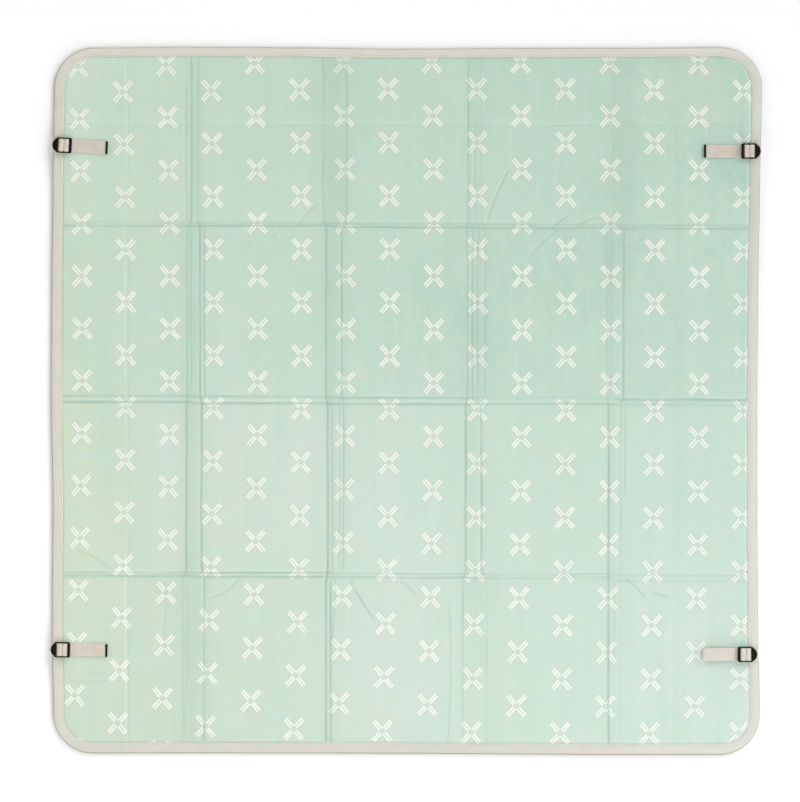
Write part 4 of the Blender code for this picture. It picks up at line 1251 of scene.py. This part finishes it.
class Recipe:
    """A material's node tree, with short calls for the nodes that the recipes share."""

    def __init__(self, name):
        self.material = bpy.data.materials.new(name)
        self.material.use_nodes = True
        self.tree = self.material.node_tree
        self.shader = self.tree.nodes["Principled BSDF"]

    def put(self, socket, value):
        """Link an output to an input, or set the input to a number or a colour."""
        if isinstance(value, bpy.types.NodeSocket):
            self.tree.links.new(value, socket)
        else:
            socket.default_value = (*value, 1.0) if isinstance(value, tuple) else value

    def math(self, operation, *values):
        """A Math node's result."""
        node = self.tree.nodes.new("ShaderNodeMath")
        node.operation = operation
        for socket, value in zip(node.inputs, values):
            self.put(socket, value)
        return node.outputs[0]

    def times(self, first, second):
        """The product of two values."""
        return self.math("MULTIPLY", first, second)

    def stored(self, name, output="Fac"):
        """A number stored on the points, or another output of the node that reads it."""
        node = self.tree.nodes.new("ShaderNodeAttribute")
        node.attribute_name = name
        return node.outputs[output]

    def parts(self, vector):
        """The three parts of a vector."""
        node = self.tree.nodes.new("ShaderNodeSeparateXYZ")
        self.put(node.inputs[0], vector)
        return node.outputs

    def place(self, name):
        """The three parts of a vector stored on the points."""
        return self.parts(self.stored(name, "Vector"))

    def spot(self):
        """The object's own coordinates."""
        return self.tree.nodes.new("ShaderNodeTexCoord").outputs["Object"]

    def noise(self, scale, detail, length=1.0):
        """Noise on the object's own coordinates, between 0 and 1, drawn out along Y by a length."""
        squeeze = self.tree.nodes.new("ShaderNodeMapping")
        squeeze.inputs["Scale"].default_value = (1.0, 1.0 / length, 1.0)
        self.put(squeeze.inputs["Vector"], self.spot())
        node = self.tree.nodes.new("ShaderNodeTexNoise")
        for name, value in (("Scale", scale), ("Detail", detail), ("Vector", squeeze.outputs["Vector"])):
            self.put(node.inputs[name], value)
        return node.outputs["Fac"]

    def fade(self, value, start, end):
        """0 at start and 1 at end, with a soft rise between."""
        node = self.tree.nodes.new("ShaderNodeMapRange")
        node.interpolation_type = "SMOOTHSTEP"
        for name, setting in zip(("Value", "From Min", "From Max"), (value, start, end)):
            self.put(node.inputs[name], setting)
        return node.outputs["Result"]

    def mix(self, share, first, second):
        """A colour between two."""
        node = self.tree.nodes.new("ShaderNodeMix")
        node.data_type = "RGBA"
        for key, value in (("Factor", share), (6, first), (7, second)):
            self.put(node.inputs[key], value)
        return node.outputs[2]

    def tinted(self, colour, tint, share, value, start, end):
        """A colour with a share of a tint, which fades in with a value from start to end."""
        return self.mix(self.times(self.fade(value, start, end), share), colour, tint)

    def patched(self, colour, patches, start, end, length=1.0):
        """A colour with soft patches, given as noise scale, tint and share."""
        for scale, tint, share in patches:
            colour = self.tinted(colour, tint, share, self.noise(scale, 2.0, length), start, end)
        return colour

    def relief(self, height, distance):
        """Bump the surface by a height between 0 and 1."""
        node = self.tree.nodes.new("ShaderNodeBump")
        for name, value in (("Strength", 1.0), ("Distance", distance), ("Height", height)):
            self.put(node.inputs[name], value)
        self.put(self.shader.inputs["Normal"], node.outputs[0])

    def finish(self, colour, roughness, specular):
        """Set the surface, and return the material."""
        settings = {"Base Color": colour, "Roughness": roughness, "Specular IOR Level": specular}
        for name, value in settings.items():
            self.put(self.shader.inputs[name], value)
        return self.material

    def waves(self, value, pitch):
        """A row of ridges, between 0 and 1, with the given pitch."""
        turn = self.times(value, 2 * math.pi / pitch)
        return self.math("MULTIPLY_ADD", self.math("SINE", turn), 0.5, 0.5)


def cross_mask(recipe, x, y):
    """The ink and the rim of one cross at distances from its middle, in metres and never below 0."""
    cos, sin = math.cos(CROSS_ANGLE), math.sin(CROSS_ANGLE)
    out = recipe.math("ADD", recipe.times(x, cos), recipe.times(y, sin))
    across = recipe.math("SUBTRACT", recipe.times(y, cos), recipe.times(x, sin))
    across = recipe.math("ABSOLUTE", across)
    aside = recipe.math("ABSOLUTE", recipe.math("SUBTRACT", across, STROKE_MIDDLE))
    stroke = recipe.fade(aside, STROKE_HALF_WIDTH + INK_SOFTNESS, STROKE_HALF_WIDTH - INK_SOFTNESS)
    edge = STROKE_MIDDLE + STROKE_HALF_WIDTH
    closed = recipe.fade(recipe.noise(45.0, 1.0), 0.45, 0.62)
    closed = recipe.math("MULTIPLY_ADD", closed, CLOSED_INK, THIN_INK)
    thin = recipe.times(recipe.fade(across, edge + INK_SOFTNESS, edge - INK_SOFTNESS), closed)
    reach = recipe.times(recipe.fade(out, ARM_FROM - INK_SOFTNESS, ARM_FROM + INK_SOFTNESS),
                        recipe.fade(out, ARM_TO + INK_SOFTNESS, ARM_TO - INK_SOFTNESS))
    rim = recipe.times(recipe.fade(across, edge + RIM_WIDTH, edge),
                      recipe.fade(out, ARM_TO + RIM_WIDTH, ARM_TO))
    return recipe.times(reach, recipe.math("MAXIMUM", stroke, thin)), rim


def printed_crosses(recipe):
    """The ink and the rims of all the crosses, from the print's lattice."""
    column, half_row, _ = recipe.place("print_place")
    column, half_row = recipe.math("PINGPONG", column, 1.0), recipe.math("PINGPONG", half_row, 1.0)
    pitch_x, pitch_y = PRINT_HALF_WIDTH / PRINT_COLUMNS, PRINT_HALF_HEIGHT / PRINT_HALF_ROWS
    x, y = recipe.times(column, pitch_x), recipe.times(half_row, pitch_y)
    even = cross_mask(recipe, x, y)
    odd = cross_mask(recipe, recipe.math("SUBTRACT", pitch_x, x), recipe.math("SUBTRACT", pitch_y, y))
    return [recipe.math("MAXIMUM", first, second) for first, second in zip(even, odd)]


def ground_tone(recipe):
    """The mint ground, which differs from corner to corner, partly as painted shade and light, and in soft
    patches.
    """
    column, half_row, _ = recipe.place("print_place")
    right = recipe.times(column, 0.5 / PRINT_COLUMNS)
    down = recipe.times(half_row, 0.5 / PRINT_HALF_ROWS)
    upper = recipe.mix(right, GROUND_CORNERS["upper_left"], GROUND_CORNERS["upper_right"])
    lower = recipe.mix(right, GROUND_CORNERS["lower_left"], GROUND_CORNERS["lower_right"])
    ground = recipe.mix(down, upper, lower)
    for share, tint in zip(recipe.place("tints"), (OLIVE, DEEP, PALE)):
        ground = recipe.mix(share, ground, tint)
    ground = recipe.patched(ground, GROUND_PATCHES, 0.42, 0.75)
    return recipe.patched(ground, STREAKS, 0.45, 0.75, STREAK_LENGTH)


def coated_cloth():
    """Mint coated cloth with pale crosses, a fine grain, and painted shade and highlights at its creases."""
    recipe = Recipe("coated_cloth")
    ink, rim = printed_crosses(recipe)
    ground = recipe.mix(recipe.times(rim, RIM_SHARE), ground_tone(recipe), RIM_COLOUR)
    # Painted shade darkens the ground and the ink at the creases; below zero it is painted light
    painted_shading = recipe.times(recipe.stored("painted_shading"), PAINTED_SHADING_SHARE)
    ground = recipe.mix(painted_shading, ground, SHADE_COLOUR)
    ground = recipe.mix(recipe.times(painted_shading, -1.0), ground, HIGHLIGHT_COLOUR)
    ink = recipe.times(ink, recipe.fade(recipe.noise(260.0, 2.0), 0.0, 0.3))
    ink = recipe.times(ink, recipe.math("SUBTRACT", 1.0, painted_shading))
    colour = recipe.mix(recipe.times(ink, INK_SHARE), ground, INK_COLOUR)
    x, y, _ = recipe.place("print_place")
    weave = recipe.times(recipe.waves(x, WARP_PITCH), recipe.waves(y, WEFT_PITCH))
    grain = recipe.math("ADD", weave, recipe.noise(700.0, 2.0))
    recipe.relief(grain, 0.04 * MM)
    roughness = recipe.math("MULTIPLY_ADD", recipe.noise(45.0, 3.0), 0.12, 0.46)
    return recipe.finish(colour, roughness, 0.45)


def back_cloth():
    """Plain pale back cloth with a fine weave."""
    recipe = Recipe("back_cloth")
    colour = recipe.mix(recipe.noise(30.0, 3.0), (0.60, 0.60, 0.56), (0.66, 0.66, 0.62))
    recipe.relief(recipe.noise(900.0, 2.0), 0.05 * MM)
    return recipe.finish(colour, 0.8, 0.2)


def binding_cloth():
    """Greige edge tape with fine ribs across it, uneven wear and painted shade along its outer fold."""
    recipe = Recipe("binding_cloth")
    way, inset, _ = recipe.place("tape_place")
    ribs = recipe.times(recipe.waves(way, 0.8 * MM), recipe.waves(inset, 1.1 * MM))
    worn = recipe.fade(recipe.noise(60.0, 4.0), 0.3, 0.7)
    colour = recipe.mix(worn, (0.62, 0.60, 0.535), (0.665, 0.64, 0.575))
    # Lighter on the ribs' crests: painted highlight
    colour = recipe.mix(recipe.times(ribs, 0.15), colour, (0.74, 0.72, 0.66))
    colour = recipe.patched(colour, TAPE_PATCHES, 0.45, 0.70)
    right, up, _ = recipe.parts(recipe.spot())
    for right_from, right_to, up_from, up_to, share, tint in TAPE_TINTS:
        share = recipe.times(recipe.fade(right, right_from, right_to), share)
        colour = recipe.tinted(colour, tint, share, up, up_from, up_to)
    # Painted shade along the tape's outer fold, where it meets the floor, stronger along the bottom edge
    painted_shading = recipe.math("MULTIPLY_ADD", recipe.fade(up, -0.66, -0.69), 0.25, 0.70)
    colour = recipe.tinted(colour, (0.22, 0.18, 0.145), painted_shading, inset, 2.6 * MM, 0.9 * MM)
    recipe.relief(recipe.math("ADD", ribs, recipe.noise(1100.0, 2.0)), 0.12 * MM)
    return recipe.finish(colour, 0.85, 0.2)


def webbing_cloth():
    """Greige webbing: ribs along its length, crossed by the weft, with plain selvedges."""
    recipe = Recipe("webbing_cloth")
    way, across, paler = recipe.place("web_place")
    zigzag = recipe.math("MULTIPLY_ADD", recipe.waves(way, 2.4 * MM), 0.5 * MM, across)
    ribs = recipe.waves(zigzag, 1.4 * MM)
    weft = recipe.waves(way, 1.2 * MM)
    weave = recipe.math("MULTIPLY_ADD", weft, 0.6, ribs)
    worn = recipe.fade(recipe.noise(90.0, 4.0), 0.3, 0.7)
    colour = recipe.mix(worn, (0.635, 0.565, 0.485), (0.69, 0.615, 0.54))
    colour = recipe.patched(colour, WEBBING_PATCHES, 0.48, 0.72)
    colour = recipe.mix(recipe.times(paler, 0.5), colour, (0.80, 0.77, 0.73))
    # Darker between the weft's ridges: painted shade in the weave's grooves
    colour = recipe.mix(recipe.math("MULTIPLY_ADD", weft, -0.25, 0.25), colour, (0.47, 0.41, 0.35))
    recipe.relief(weave, 0.25 * MM)
    return recipe.finish(colour, 0.85, 0.2)


def sewing_thread():
    """Matt pale thread with the twist of its strands."""
    recipe = Recipe("sewing_thread")
    colour = recipe.mix(recipe.noise(400.0, 2.0), (0.62, 0.60, 0.55), (0.72, 0.70, 0.65))
    recipe.relief(recipe.noise(2500.0, 1.0), 0.08 * MM)
    return recipe.finish(colour, 0.7, 0.3)


def moulded_plastic():
    """Black moulded plastic with a fine grain and a worn sheen."""
    recipe = Recipe("moulded_plastic")
    colour = recipe.mix(recipe.noise(200.0, 3.0), (0.004, 0.004, 0.003), (0.008, 0.007, 0.006))
    recipe.relief(recipe.noise(1500.0, 2.0), 0.03 * MM)
    roughness = recipe.math("MULTIPLY_ADD", recipe.noise(120.0, 3.0), 0.15, 0.34)
    return recipe.finish(colour, roughness, 0.12)


def floor_paint():
    """White studio floor."""
    recipe = Recipe("studio_floor")
    colour = recipe.mix(recipe.noise(2.0, 2.0), (0.97, 0.97, 0.97), (0.98, 0.98, 0.98))
    return recipe.finish(colour, 0.7, 0.2)


def make_floor():
    """A plain pale floor under the mat."""
    mesh = bpy.data.meshes.new("floor")
    corners = [(x * FLOOR_REACH, y * FLOOR_REACH, 0.0) for x, y in ((-1, -1), (1, -1), (1, 1), (-1, 1))]
    mesh.from_pydata(corners, [], [(0, 1, 2, 3)])
    mesh.materials.append(floor_paint())
    floor = in_scene("floor", mesh)
    floor.location.z = -FLOOR_CLEARANCE


def new_light(name, kind, power, colour):
    """A light of a kind, with its power and colour, in the scene."""
    light = in_scene(name, bpy.data.lights.new(name, kind))
    light.data.energy = power
    light.data.color = colour
    return light


def add_fill(name, place, size, power, colour):
    """A soft rectangular light that points at the middle of the mat."""
    light = new_light(name, "AREA", power, colour)
    light.data.shape = "RECTANGLE"
    light.data.size, light.data.size_y = size
    light.location = place
    light.rotation_euler = (-light.location).to_track_quat("-Z", "Y").to_euler()


def add_sun(name, azimuth, elevation, spread, strength, colour):
    """A far, soft light from an azimuth and an elevation, in degrees."""
    light = new_light(name, "SUN", strength, colour)
    light.data.angle = math.radians(spread)
    light.rotation_euler = (0.0, math.radians(90 - elevation), math.radians(azimuth))


def make_surround():
    """A grey dome with a brighter low band, which gives every edge its soft shadow on the floor."""
    world = bpy.data.worlds.new("surround")
    world.use_nodes = True
    nodes, links = world.node_tree.nodes, world.node_tree.links
    where = nodes.new("ShaderNodeTexCoord")
    parts = nodes.new("ShaderNodeSeparateXYZ")
    band = nodes.new("ShaderNodeMapRange")
    band.interpolation_type = "SMOOTHSTEP"
    blend = (*BAND_TOP, BAND_LEVEL, DOME_LEVEL)
    for name, value in zip(("From Min", "From Max", "To Min", "To Max"), blend):
        band.inputs[name].default_value = value
    backdrop = nodes["Background"]
    backdrop.inputs["Color"].default_value = (0.98, 0.99, 1.0, 1.0)
    links.new(where.outputs["Generated"], parts.inputs[0])
    links.new(parts.outputs["Z"], band.inputs["Value"])
    links.new(band.outputs["Result"], backdrop.inputs["Strength"])
    bpy.context.scene.world = world


def make_light():
    """Soft studio light: a dome, low keys from the right and fills that hang over three edges."""
    for name, settings in KEYS.items():
        add_sun(name, *settings)
    for name, settings in FILLS.items():
        add_fill(name, *settings)
    make_surround()


def make_camera():
    """The photograph's view, straight down."""
    data = bpy.data.cameras.new("camera")
    data.lens = CAMERA_LENS
    data.sensor_width = CAMERA_SENSOR
    data.clip_end = 30.0
    camera = in_scene("camera", data)
    camera.location = CAMERA_PLACE
    bpy.context.scene.camera = camera


def main():
    """Dress the frame, light it and set the camera."""
    make_face(coated_cloth())
    make_back(back_cloth())
    make_binding(binding_cloth())
    make_stitching(sewing_thread())
    webbing, plastic = webbing_cloth(), moulded_plastic()
    for name in STRAPS:
        make_strap(name, webbing)
        make_buckle(name, plastic)
        make_tip(name, plastic)
    make_floor()
    make_light()
    make_camera()
    bpy.context.scene.view_settings.view_transform = "Standard"
    bpy.context.scene.view_settings.look = "None"


main()
